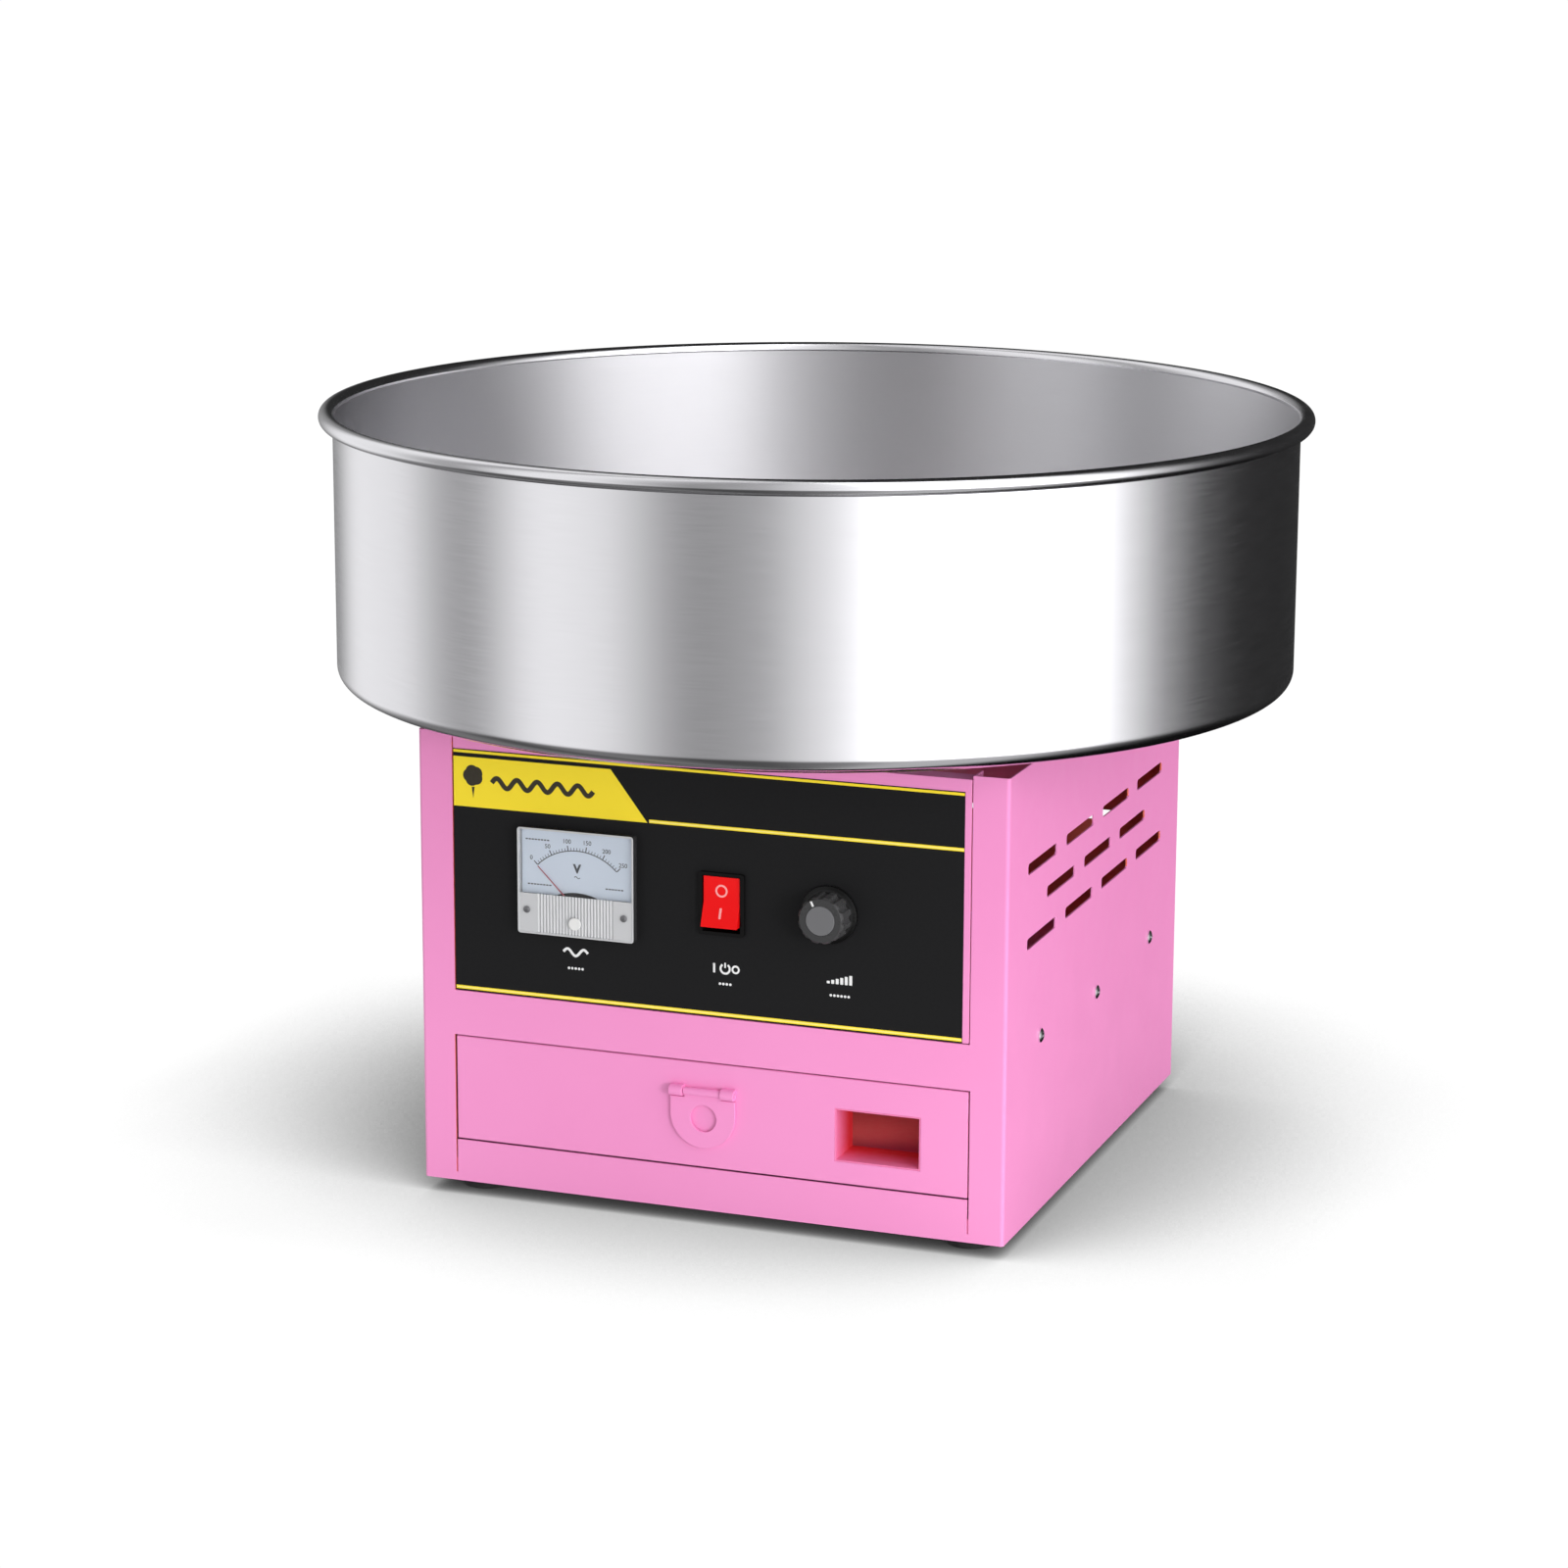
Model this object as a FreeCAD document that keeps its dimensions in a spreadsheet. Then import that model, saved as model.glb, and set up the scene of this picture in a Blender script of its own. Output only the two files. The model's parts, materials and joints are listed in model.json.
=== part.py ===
import FreeCAD, Part
import math
import os
import Sketcher

# Table-top cotton candy machine, in millimetres. The origin is on the table under the spinner's
# axis, +Z is up and the control panel faces -Y. Every size is worked out from the cells below.

DIMENSIONS = {
    # cabinet
    "body_width": 320, "body_depth": 320, "body_top": 250, "metal": 1.0,
    "foot_height": 8, "foot_radius": 13,
    "post_inner": 141, "rail_top": 112, "rail_bottom": 88, "bay_bottom": 30.5,
    "return_depth": 13, "fit_gap": 0.1, "bend": 2.0, "inner_bend": 1.0,
    "vent_length": 50, "vent_height": 6, "vent_corner": 2, "vent_pitch": 67, "vent_shift": -1.5,
    "vent_low": 157, "vent_step": 19.5,
    "deck_top": 245, "deck_thick": 1.2, "shelf_bottom": 92, "shelf_flange": 19,
    # control panel
    "panel_half": 140.4, "panel_top": 248, "overlay_right": 137,
    "overlay_top": 241.5, "overlay_thick": 0.25,
    "meter_x": -70.4, "meter_z": 176.2, "meter_width": 64.4, "meter_height": 56.1,
    "meter_proud": 5.2, "meter_can": 20, "meter_can_drop": 6.3, "needle_z": 162.4,
    "needle_length": 30.5,
    "switch_x": 8.6, "switch_z": 172.6, "rocker_width": 19.6, "rocker_half": 13.1,
    "rocker_pivot": 4, "rocker_tilt": 10,
    "knob_x": 66.5, "knob_z": 172.6, "knob_skirt": 15, "knob_radius": 12.2, "knob_proud": 15,
    # drawer
    "drawer_half": 140.6, "drawer_low": 31.3, "drawer_high": 87.2, "tray_half": 139,
    "tray_low": 36, "tray_high": 82, "tray_back": 100, "tray_metal": 0.8,
    "window_left": 69.5, "window_right": 115.6, "window_low": 42.8, "window_high": 71.1,
    "sleeve_depth": 26, "drawer_edge": 0.8,
    "pull_x": -1.75, "pull_width": 35.5, "pull_low": 41.8, "pull_axis_z": 72.1,
    "pull_axis_y": -162.2, "pull_hole": 7.15, "pull_hole_z": 57.9,
    # bowl
    "bowl_bottom": 262.5, "bowl_radius": 255.2, "bowl_metal": 0.8, "bowl_corner": 8,
    "rim_radius": 4.1, "rim_top": 406.5, "bowl_hole": 101.2, "bowl_lip_top": 281,
    # spinner and motor
    "collar_radius": 100.2, "shaft_radius": 5, "head_radius": 84, "head_low": 288,
    "head_high": 320, "cup_radius": 33.5, "cup_top": 334, "motor_radius": 50,
    "motor_low": 108, "motor_high": 192, "ring_radius": 19, "shaft_opening": 25,
}

doc = FreeCAD.newDocument("CottonCandyMachine")
sheet = doc.addObject("Spreadsheet::Sheet", "Dim")
nodes = {}


class Measure(float):
    """A number that remembers the spreadsheet formula it was worked out from."""

    def __new__(cls, value, formula):
        made = super().__new__(cls, value)
        made.formula = formula
        return made

    def __add__(self, other):
        return Measure(float(self) + float(other), "(%s + %s)" % (self.formula, formula_of(other)))

    def __radd__(self, other):
        return Measure(float(other) + float(self), "(%s + %s)" % (formula_of(other), self.formula))

    def __sub__(self, other):
        return Measure(float(self) - float(other), "(%s - %s)" % (self.formula, formula_of(other)))

    def __rsub__(self, other):
        return Measure(float(other) - float(self), "(%s - %s)" % (formula_of(other), self.formula))

    def __mul__(self, other):
        return Measure(float(self) * float(other), "(%s * %s)" % (self.formula, formula_of(other)))

    def __rmul__(self, other):
        return self * other

    def __truediv__(self, other):
        return Measure(float(self) / float(other), "(%s / %s)" % (self.formula, formula_of(other)))

    def __neg__(self):
        return Measure(-float(self), "(-1 * %s)" % self.formula)


def formula_of(value):
    """The formula of a measure, or a bare number in brackets."""
    if isinstance(value, Measure):
        return value.formula
    return "(%.6f)" % value


class Sizes:
    """The driving dimensions, each readable as an attribute."""


def fill_sheet():
    """Write the driving dimensions into the spreadsheet and return them as measures."""
    sizes = Sizes()
    for row, (alias, value) in enumerate(DIMENSIONS.items(), start=1):
        sheet.set("A%d" % row, alias)
        sheet.set("B%d" % row, str(value))
        sheet.setAlias("B%d" % row, alias)
        setattr(sizes, alias, Measure(value, "Dim.%s" % alias))
    doc.recompute()
    return sizes


d = fill_sheet()

UPRIGHT = FreeCAD.Rotation()
AXIS_TURN = {
    "X": FreeCAD.Rotation(FreeCAD.Vector(0, 1, 0), 90),
    "Y": FreeCAD.Rotation(FreeCAD.Vector(1, 0, 0), -90),
    "-Y": FreeCAD.Rotation(FreeCAD.Vector(1, 0, 0), 90),
    "Z": UPRIGHT,
}
ALONG_X = FreeCAD.Vector(1, 0, 0)
ALONG_Y = FreeCAD.Vector(0, 1, 0)
ALONG_Z = FreeCAD.Vector(0, 0, 1)


# ---------------------------------------------------------------- building blocks

def bind(thing, prop, value):
    """Bind a property to the formula of a measure."""
    if isinstance(value, Measure):
        thing.setExpression(prop, value.formula)


def place(thing, position, turn=UPRIGHT):
    """Put an object at a position, each coordinate bound where it is a measure."""
    thing.Placement = FreeCAD.Placement(FreeCAD.Vector(*[float(p) for p in position]), turn)
    for letter, value in zip("xyz", position):
        bind(thing, "Placement.Base." + letter, value)


def sized(kind, **sizes):
    """A Part primitive whose sizes are bound to the sheet."""
    made = doc.addObject("Part::" + kind, kind)
    for prop, value in sizes.items():
        setattr(made, prop, float(value))
        bind(made, prop, value)
    return made


def slab(x_span, y_span, z_span):
    """A block given by its low and high x, y and z."""
    made = sized("Box", Length=x_span[1] - x_span[0], Width=y_span[1] - y_span[0],
                 Height=z_span[1] - z_span[0])
    place(made, (x_span[0], y_span[0], z_span[0]))
    return made


def along(axis, centre, start):
    """The 3-D start point of a rod: centre holds the two coordinates across its axis."""
    if axis == "X":
        return (start, centre[0], centre[1])
    if axis == "Y":
        return (centre[0], start, centre[1])
    return (centre[0], centre[1], start)


def rod(radius, axis, centre, span):
    """A solid cylinder along an axis, between two coordinates on that axis."""
    made = sized("Cylinder", Radius=radius, Height=span[1] - span[0])
    place(made, along(axis, centre, span[0]), AXIS_TURN[axis])
    return made


def fuse(*pieces):
    made = doc.addObject("Part::MultiFuse", "Fuse")
    made.Shapes = list(pieces)
    made.Refine = True
    return made


def cut(base, *tools):
    made = doc.addObject("Part::Cut", "Cut")
    made.Base = base
    made.Tool = tools[0] if len(tools) == 1 else fuse(*tools)
    made.Refine = True
    return made


def tube(outer, inner, axis, centre, span):
    return cut(rod(outer, axis, centre, span), rod(inner, axis, centre, (span[0] - 1, span[1] + 1)))


def group(pieces):
    made = doc.addObject("Part::Compound", "Group")
    made.Links = list(pieces)
    return made


def rounded(base, radius, directions, front_only=False):
    """Round a block's straight edges along some directions, or only those on its front half."""
    doc.recompute()
    middle = base.Shape.BoundBox.Center.y
    chosen = []
    for number, edge in enumerate(base.Shape.Edges, start=1):
        run = (edge.Vertexes[-1].Point - edge.Vertexes[0].Point).normalize()
        parallel = any(run.cross(direction).Length < 1e-6 for direction in directions)
        if parallel and not (front_only and edge.CenterOfMass.y > middle):
            chosen.append((number, float(radius), float(radius)))
    made = doc.addObject("Part::Fillet", "Rounded")
    made.Base = base
    made.Edges = chosen
    return made


def spoke(angle, x_span, y_span, z_span):
    """A block given as slab gives it, then turned about the spinner's axis by an angle."""
    made = sized("Box", Length=x_span[1] - x_span[0], Width=y_span[1] - y_span[0],
                 Height=z_span[1] - z_span[0])
    turn = FreeCAD.Rotation(ALONG_Z, angle)
    corner = turn.multVec(FreeCAD.Vector(x_span[0], y_span[0], 0))
    place(made, (corner.x, corner.y, z_span[0]), turn)
    return made


def node(label, thing):
    """Name a finished sub-part; its label becomes its file's name."""
    thing.Label = label
    nodes[label] = thing
    return thing


def new_body(label):
    return node(label, doc.addObject("PartDesign::Body", "Body"))


def new_sketch(body, role, offset=None):
    """A sketch on one of the body's own origin planes, moved out along its normal."""
    plane = [p for p in body.Origin.OriginFeatures if p.Role == role][0]
    made = body.newObject("Sketcher::SketchObject", "Sketch")
    made.AttachmentSupport = [(plane, "")]
    made.MapMode = "FlatFace"
    if offset is not None:
        made.AttachmentOffset = FreeCAD.Placement(FreeCAD.Vector(0, 0, float(offset)), UPRIGHT)
        bind(made, "AttachmentOffset.Base.z", offset)
    return made


def constrain(sketch, constraint, value=None):
    index = sketch.addConstraint(constraint)
    if isinstance(value, Measure):
        sketch.setExpression("Constraints[%d]" % index, value.formula)


def pin_point(sketch, geometry, point, x, y):
    """Fix a point of a sketch at distances from the origin."""
    if abs(float(x)) > 1e-9:
        constrain(sketch, Sketcher.Constraint("DistanceX", -1, 1, geometry, point, float(x)), x)
    else:
        constrain(sketch, Sketcher.Constraint("PointOnObject", geometry, point, -2))
    if abs(float(y)) > 1e-9:
        constrain(sketch, Sketcher.Constraint("DistanceY", -1, 1, geometry, point, float(y)), y)
    else:
        constrain(sketch, Sketcher.Constraint("PointOnObject", geometry, point, -1))


def arc_between(start, end, radius, bulge, large):
    """An arc from start to end: bulge 1 turns left, -1 turns right; large takes the long way."""
    chord = end - start
    half = chord.Length / 2
    rise = math.sqrt(max(float(radius) ** 2 - half ** 2, 0))
    left = FreeCAD.Vector(-chord.y, chord.x, 0).normalize()
    side = bulge * (-1 if large else 1)
    centre = start + chord * 0.5 + left * (rise * side)
    first = math.atan2(start.y - centre.y, start.x - centre.x)
    last = math.atan2(end.y - centre.y, end.x - centre.x)
    whole = Part.Circle(centre, ALONG_Z, float(radius))
    if bulge > 0:
        return Part.ArcOfCircle(whole, first, last)
    return Part.ArcOfCircle(whole, last, first)


def outline(sketch, corners, arcs=None):
    """A closed outline. arcs maps a corner's index to (radius, bulge, large) for the side after it."""
    arcs = arcs or {}
    count = len(corners)
    points = [FreeCAD.Vector(float(x), float(y), 0) for x, y in corners]
    ends = []
    for i in range(count):
        start = points[i]
        end = points[(i + 1) % count]
        if i in arcs:
            radius, bulge, large = arcs[i]
            edge = sketch.addGeometry(arc_between(start, end, radius, bulge, large), False)
            ends.append((edge, 1, 2) if bulge > 0 else (edge, 2, 1))
        else:
            edge = sketch.addGeometry(Part.LineSegment(start, end), False)
            ends.append((edge, 1, 2))
    for i in range(count):
        edge, first, last = ends[i]
        following, start_point, _ = ends[(i + 1) % count]
        constrain(sketch, Sketcher.Constraint("Coincident", edge, last, following, start_point))
        pin_point(sketch, edge, first, corners[i][0], corners[i][1])
        if i in arcs:
            radius = arcs[i][0]
            constrain(sketch, Sketcher.Constraint("Radius", edge, float(radius)), radius)


def circle(sketch, x, y, radius):
    centre = FreeCAD.Vector(float(x), float(y), 0)
    edge = sketch.addGeometry(Part.Circle(centre, ALONG_Z, float(radius)), False)
    constrain(sketch, Sketcher.Constraint("Radius", edge, float(radius)), radius)
    pin_point(sketch, edge, 3, x, y)


def rectangle(sketch, x_span, y_span):
    outline(sketch, [(x_span[0], y_span[0]), (x_span[1], y_span[0]),
                     (x_span[1], y_span[1]), (x_span[0], y_span[1])])


def pad(body, sketch, length, backwards=False):
    made = body.newObject("PartDesign::Pad", "Pad")
    made.Profile = sketch
    made.Length = float(length)
    made.Reversed = backwards
    bind(made, "Length", length)
    doc.recompute()
    return made


def pocket(body, sketch, length=None):
    """Cut a sketch out of a body, all the way through unless a depth is given."""
    before = body.Shape.Volume
    made = body.newObject("PartDesign::Pocket", "Pocket")
    made.Profile = sketch
    if length is None:
        made.Type = "ThroughAll"
        made.Midplane = True
    else:
        made.Length = float(length)
        bind(made, "Length", length)
    doc.recompute()
    if body.Shape.Volume >= before:
        raise ValueError("%s: a pocket cuts nothing" % body.Label)
    return made


def polar(body, feature, count):
    """Repeat a feature around the body's Z axis."""
    axis = [p for p in body.Origin.OriginFeatures if p.Role == "Z_Axis"][0]
    made = body.newObject("PartDesign::PolarPattern", "Pattern")
    made.Originals = [feature]
    made.Axis = (axis, [""])
    made.Angle = 360
    made.Occurrences = count
    body.Tip = made
    doc.recompute()
    return made


def turned(label, corners, arcs=None):
    """A solid turned about its own Z axis from an outline of (radius, height) corners."""
    body = new_body(label)
    sketch = new_sketch(body, "XZ_Plane")
    outline(sketch, corners, arcs)
    spin = body.newObject("PartDesign::Revolution", "Revolution")
    spin.Profile = sketch
    spin.ReferenceAxis = (sketch, ["V_Axis"])
    spin.Angle = 360
    doc.recompute()
    return body


def screw(axis, centre, seat, outward, head=(3.75, 2.2), shank=(2.0, 10)):
    """A pan-head screw seated on a face; outward is +1 or -1 along the axis."""
    head_radius, head_height = head
    shank_radius, shank_length = shank
    crown = (seat, seat + outward * head_height)
    stem = (seat - outward * shank_length, seat + outward * head_height / 2)
    crown = crown if outward > 0 else (crown[1], crown[0])
    stem = stem if outward > 0 else (stem[1], stem[0])
    return fuse(rod(head_radius, axis, centre, crown), rod(shank_radius, axis, centre, stem))


def corners_of(half_x, half_y):
    return [(x * half_x, y * half_y) for x in (-1, 1) for y in (-1, 1)]


def compass(radius, count, start=0.0):
    """Points evenly spaced on a circle about the spinner's axis."""
    turns = [math.radians(start + 360.0 * i / count) for i in range(count)]
    return [(radius * math.cos(t), radius * math.sin(t)) for t in turns]


# ---------------------------------------------------------------- places shared by several sub-parts

half_width = d.body_width / 2
half_depth = d.body_depth / 2
front = -half_depth
inner_x = half_width - d.metal
back_plane = half_depth - d.metal
panel_face = front - d.overlay_thick
SIDE_SCREWS = [(-102, 103.2), (0.3, 99.1), (104, 103.2)]
REAR_SCREWS = [(x, z) for x in (-152, 152) for z in (40, 129, 218)]
FEET = corners_of(135, 135)
BOLTS = compass(46, 4, 45)
GLAND = (-110, 60)
GLAND_NECK = 8
COLLAR_SCREWS = compass(111, 4, 45)
M4 = 2.0
M4_HOLE = 2.1


def vent_places():
    """Centres of the eleven vent slots: rows of four, three and four."""
    places = []
    for row, count in enumerate((4, 3, 4)):
        for i in range(count):
            shift = (i - (count - 1) / 2) * d.vent_pitch + d.vent_shift
            places.append((shift, d.vent_low + d.vent_step * row))
    return places


def vent_cutters(axis, span):
    """Round-cornered blocks that cut the vent slots through a sheet, running along an axis."""
    cutters = []
    for across, height in vent_places():
        side = (across - d.vent_length / 2, across + d.vent_length / 2)
        rise = (height - d.vent_height / 2, height + d.vent_height / 2)
        if axis == "X":
            cutters.append(rounded(slab(span, side, rise), d.vent_corner, [ALONG_X]))
        else:
            cutters.append(rounded(slab(side, span, rise), d.vent_corner, [ALONG_Y]))
    return cutters


# ---------------------------------------------------------------- cabinet

def cabinet_shell():
    """One folded sheet: the front frame, both slotted sides and the rear return flanges."""
    outside = slab((-half_width, half_width), (front, back_plane), (d.foot_height, d.body_top))
    inside = slab((-inner_x, inner_x), (front + d.metal, half_depth), (0, d.body_top + 1))
    skin = (front - 1, front + d.metal + 1)
    panel_opening = slab((-d.post_inner, d.post_inner), skin, (d.rail_top, d.body_top + 1))
    bay_opening = slab((-d.post_inner - 0.5, d.post_inner + 0.5), skin, (d.bay_bottom, d.rail_bottom))
    folded = [cut(rounded(outside, d.bend, [ALONG_Z], True),
                  rounded(inside, d.inner_bend, [ALONG_Z], True), panel_opening, bay_opening)]
    rear_flange = 14
    rear_flange_span = (22, 230)
    for side in (-1, 1):
        edges = sorted((side * d.post_inner, side * (d.post_inner + d.metal)))
        folded.append(slab(edges, (front, front + d.return_depth), (d.rail_top, d.body_top)))
        edges = sorted((side * (half_width - rear_flange), side * half_width))
        folded.append(slab(edges, (back_plane - d.metal, back_plane), rear_flange_span))
    across = (-half_width - 1, half_width + 1)
    cutters = vent_cutters("X", across)
    for side in (-1, 1):
        slit = sorted((side * (d.post_inner - 0.3), side * (d.post_inner + 0.5)))
        cutters.append(slab(slit, skin, (d.foot_height + 4.5, d.bay_bottom + 1)))
    cutters += [rod(M4_HOLE, "X", yz, across) for yz in SIDE_SCREWS]
    cutters += [rod(M4_HOLE, "Y", xz, (back_plane - 3, back_plane + 1)) for xz in REAR_SCREWS]
    node("cabinet_shell", cut(fuse(*folded), *cutters))


def rear_panel():
    """Flat sheet with its own vents, screwed to the shell's return flanges."""
    plate = slab((-half_width, half_width), (back_plane, half_depth), (d.foot_height, d.body_top))
    span = (back_plane - 1, half_depth + 1)
    cutters = vent_cutters("Y", span)
    cutters += [rod(M4_HOLE, "Y", xz, span) for xz in REAR_SCREWS]
    cutters.append(rod(GLAND_NECK + 0.1, "Y", GLAND, span))
    node("rear_panel", cut(plate, *cutters))


def base_pan():
    """Floor of the cabinet, a shallow tray with turned-up edges that the feet are screwed to."""
    turn_up = 11
    edge_x = inner_x - d.fit_gap
    front_y = front + d.metal + d.fit_gap
    back_y = back_plane - d.metal - d.fit_gap
    floor_top = d.foot_height + d.metal
    tray = slab((-edge_x, edge_x), (front_y, back_y), (d.foot_height, floor_top + turn_up))
    hollow = slab((-edge_x + d.metal, edge_x - d.metal), (front_y + d.metal, back_y - d.metal),
                  (floor_top, floor_top + turn_up + 1))
    holes = [rod(M4_HOLE, "Z", xy, (0, floor_top + 1)) for xy in FEET]
    node("base_pan", cut(tray, hollow, *holes))


def divider_shelf():
    """Roof of the drawer bay; its upturned sides take the side screws."""
    edge_x = inner_x - d.fit_gap
    ends = (front + d.metal + d.fit_gap, back_plane - d.metal - d.fit_gap)
    channel = slab((-edge_x, edge_x), ends, (d.shelf_bottom, d.shelf_bottom + d.shelf_flange))
    hollow = slab((-edge_x + d.metal, edge_x - d.metal), (ends[0] - 1, ends[1] + 1),
                  (d.shelf_bottom + d.metal, d.shelf_bottom + d.shelf_flange + 1))
    holes = [rod(M4_HOLE, "X", yz, (-half_width, half_width)) for yz in SIDE_SCREWS]
    node("divider_shelf", cut(channel, hollow, *holes))


def drawer_runners():
    """An angle each side: it hangs from the shelf and its lip carries the tray."""
    length = (-145, 150)
    wall = d.tray_half + 0.6
    lip_width = 11
    flange_width = 15
    bottom = d.tray_low - 1.5
    pair = []
    for side in (-1, 1):
        def between(near, far):
            return sorted((side * near, side * far))

        leg = slab(between(wall, wall + 1), length, (bottom, d.shelf_bottom))
        lip = slab(between(wall - lip_width, wall + 1), length, (bottom, d.tray_low - 0.3))
        flange = slab(between(wall, wall + flange_width), length, (d.shelf_bottom - 1, d.shelf_bottom))
        pair.append(fuse(leg, lip, flange))
    node("drawer_runners", group(pair))


def top_deck():
    """Recessed top plate with folded-down edges, carrying the bowl and hanging the motor."""
    edge_x = inner_x - d.fit_gap
    front_y = front + d.return_depth + 0.5
    back_y = back_plane - d.metal - d.fit_gap
    low = d.deck_top - 12
    pan = slab((-edge_x, edge_x), (front_y, back_y), (low, d.deck_top))
    hollow = slab((-edge_x + d.metal, edge_x - d.metal), (front_y + d.metal, back_y - d.metal),
                  (low - 1, d.deck_top - d.deck_thick))
    span = (d.deck_top - 5, d.deck_top + 1)
    holes = [rod(d.shaft_opening, "Z", (0, 0), span)]
    holes += [rod(M4_HOLE, "Z", xy, span) for xy in BOLTS + COLLAR_SCREWS]
    node("top_deck", cut(cut(pan, hollow), *holes))


def bowl_seat():
    """The spigot that centres the bowl, the ring that carries it and the rubber on top."""
    outer = d.collar_radius
    thick = 1.2
    flange = 122
    top = d.bowl_lip_top - 3
    collar = turned("bowl_collar", [
        (outer - thick, d.deck_top), (flange, d.deck_top), (flange, d.deck_top + thick),
        (outer, d.deck_top + thick), (outer, top), (outer - thick, top)])
    bolts = new_sketch(collar, "XY_Plane", d.deck_top)
    for x, y in COLLAR_SCREWS:
        circle(bolts, x, y, M4_HOLE)
    pocket(collar, bolts)
    base = d.deck_top + 4.5
    turned("bowl_seat_ring", [
        (102.5, base), (119, base), (119, d.bowl_bottom - 5), (102.5, d.bowl_bottom - 5)])
    turned("bowl_gasket", [
        (103, d.bowl_bottom - 5), (119.5, d.bowl_bottom - 5), (119.5, d.bowl_bottom - 1),
        (118.8, d.bowl_bottom - 0.3), (103.7, d.bowl_bottom - 0.3), (103, d.bowl_bottom - 1)])


def feet_and_screws():
    """Rubber feet with the screws up through them, and every pan-head screw of the cabinet."""
    feet = []
    stems = []
    for xy in FEET:
        block = rod(d.foot_radius, "Z", xy, (0, d.foot_height))
        bore = rod(M4_HOLE, "Z", xy, (-1, d.foot_height + 1))
        head_well = rod(5, "Z", xy, (-1, 3))
        feet.append(cut(block, bore, head_well))
        stems.append(fuse(rod(4.4, "Z", xy, (0.8, 3)), rod(M4, "Z", xy, (2, 16))))
    node("rubber_feet", group(feet))
    node("foot_screws", group(stems))
    screws = []
    for place_yz in SIDE_SCREWS:
        screws.append(screw("X", place_yz, half_width, 1))
        screws.append(screw("X", place_yz, -half_width, -1))
    screws += [screw("Y", xz, half_depth, 1) for xz in REAR_SCREWS]
    screws += [screw("Z", xy, d.deck_top + 1.2, 1) for xy in COLLAR_SCREWS]
    node("cabinet_screws", group(screws))


def cable_gland():
    """Screwed gland the mains lead enters by, with its collar clamping the rear panel."""
    seat = half_depth + 5
    collar = rod(12, "Y", GLAND, (half_depth, seat))
    cap = rod(10.5, "Y", GLAND, (seat, seat + 12))
    neck = rod(GLAND_NECK, "Y", GLAND, (back_plane - 8, half_depth + 1))
    bore = rod(4, "Y", GLAND, (back_plane - 10, seat + 15))
    node("gland_body", cut(fuse(collar, cap, neck), bore))


# ---------------------------------------------------------------- control panel

def panel_openings(sketch, margin):
    """The cut-outs for the meter, the switch and the knob's bush, grown by a margin."""
    circle(sketch, d.meter_x, d.meter_z - d.meter_can_drop, d.meter_can + 0.5 + margin)
    rectangle(sketch, (d.switch_x - 11.1 - margin, d.switch_x + 11.1 + margin),
              (d.switch_z - 15.4 - margin, d.switch_z + 15.4 + margin))
    circle(sketch, d.knob_x, d.knob_z, 4.7 + margin)


def control_panel():
    """Front plate with a folded top lip, and the printed film on its face."""
    across = (-d.panel_half, d.panel_half)
    low = d.rail_top + 0.5
    lip_depth = 12
    plate = new_body("control_panel_plate")
    face = new_sketch(plate, "XZ_Plane", half_depth)
    rectangle(face, across, (low, d.panel_top))
    pad(plate, face, d.metal, True)
    lip = new_sketch(plate, "XY_Plane", d.panel_top)
    rectangle(lip, across, (front, front + lip_depth))
    pad(plate, lip, d.metal, True)
    holes = new_sketch(plate, "XZ_Plane", half_depth)
    panel_openings(holes, 0.0)
    pocket(plate, holes, d.metal * 2)

    film = new_body("panel_overlay")
    face = new_sketch(film, "XZ_Plane", half_depth)
    rectangle(face, (0.2 - d.panel_half, d.overlay_right), (low + 0.1, d.overlay_top))
    pad(film, face, d.overlay_thick)
    holes = new_sketch(film, "XZ_Plane", half_depth + d.overlay_thick)
    panel_openings(holes, 0.3)
    pocket(film, holes, d.overlay_thick * 2)


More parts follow.
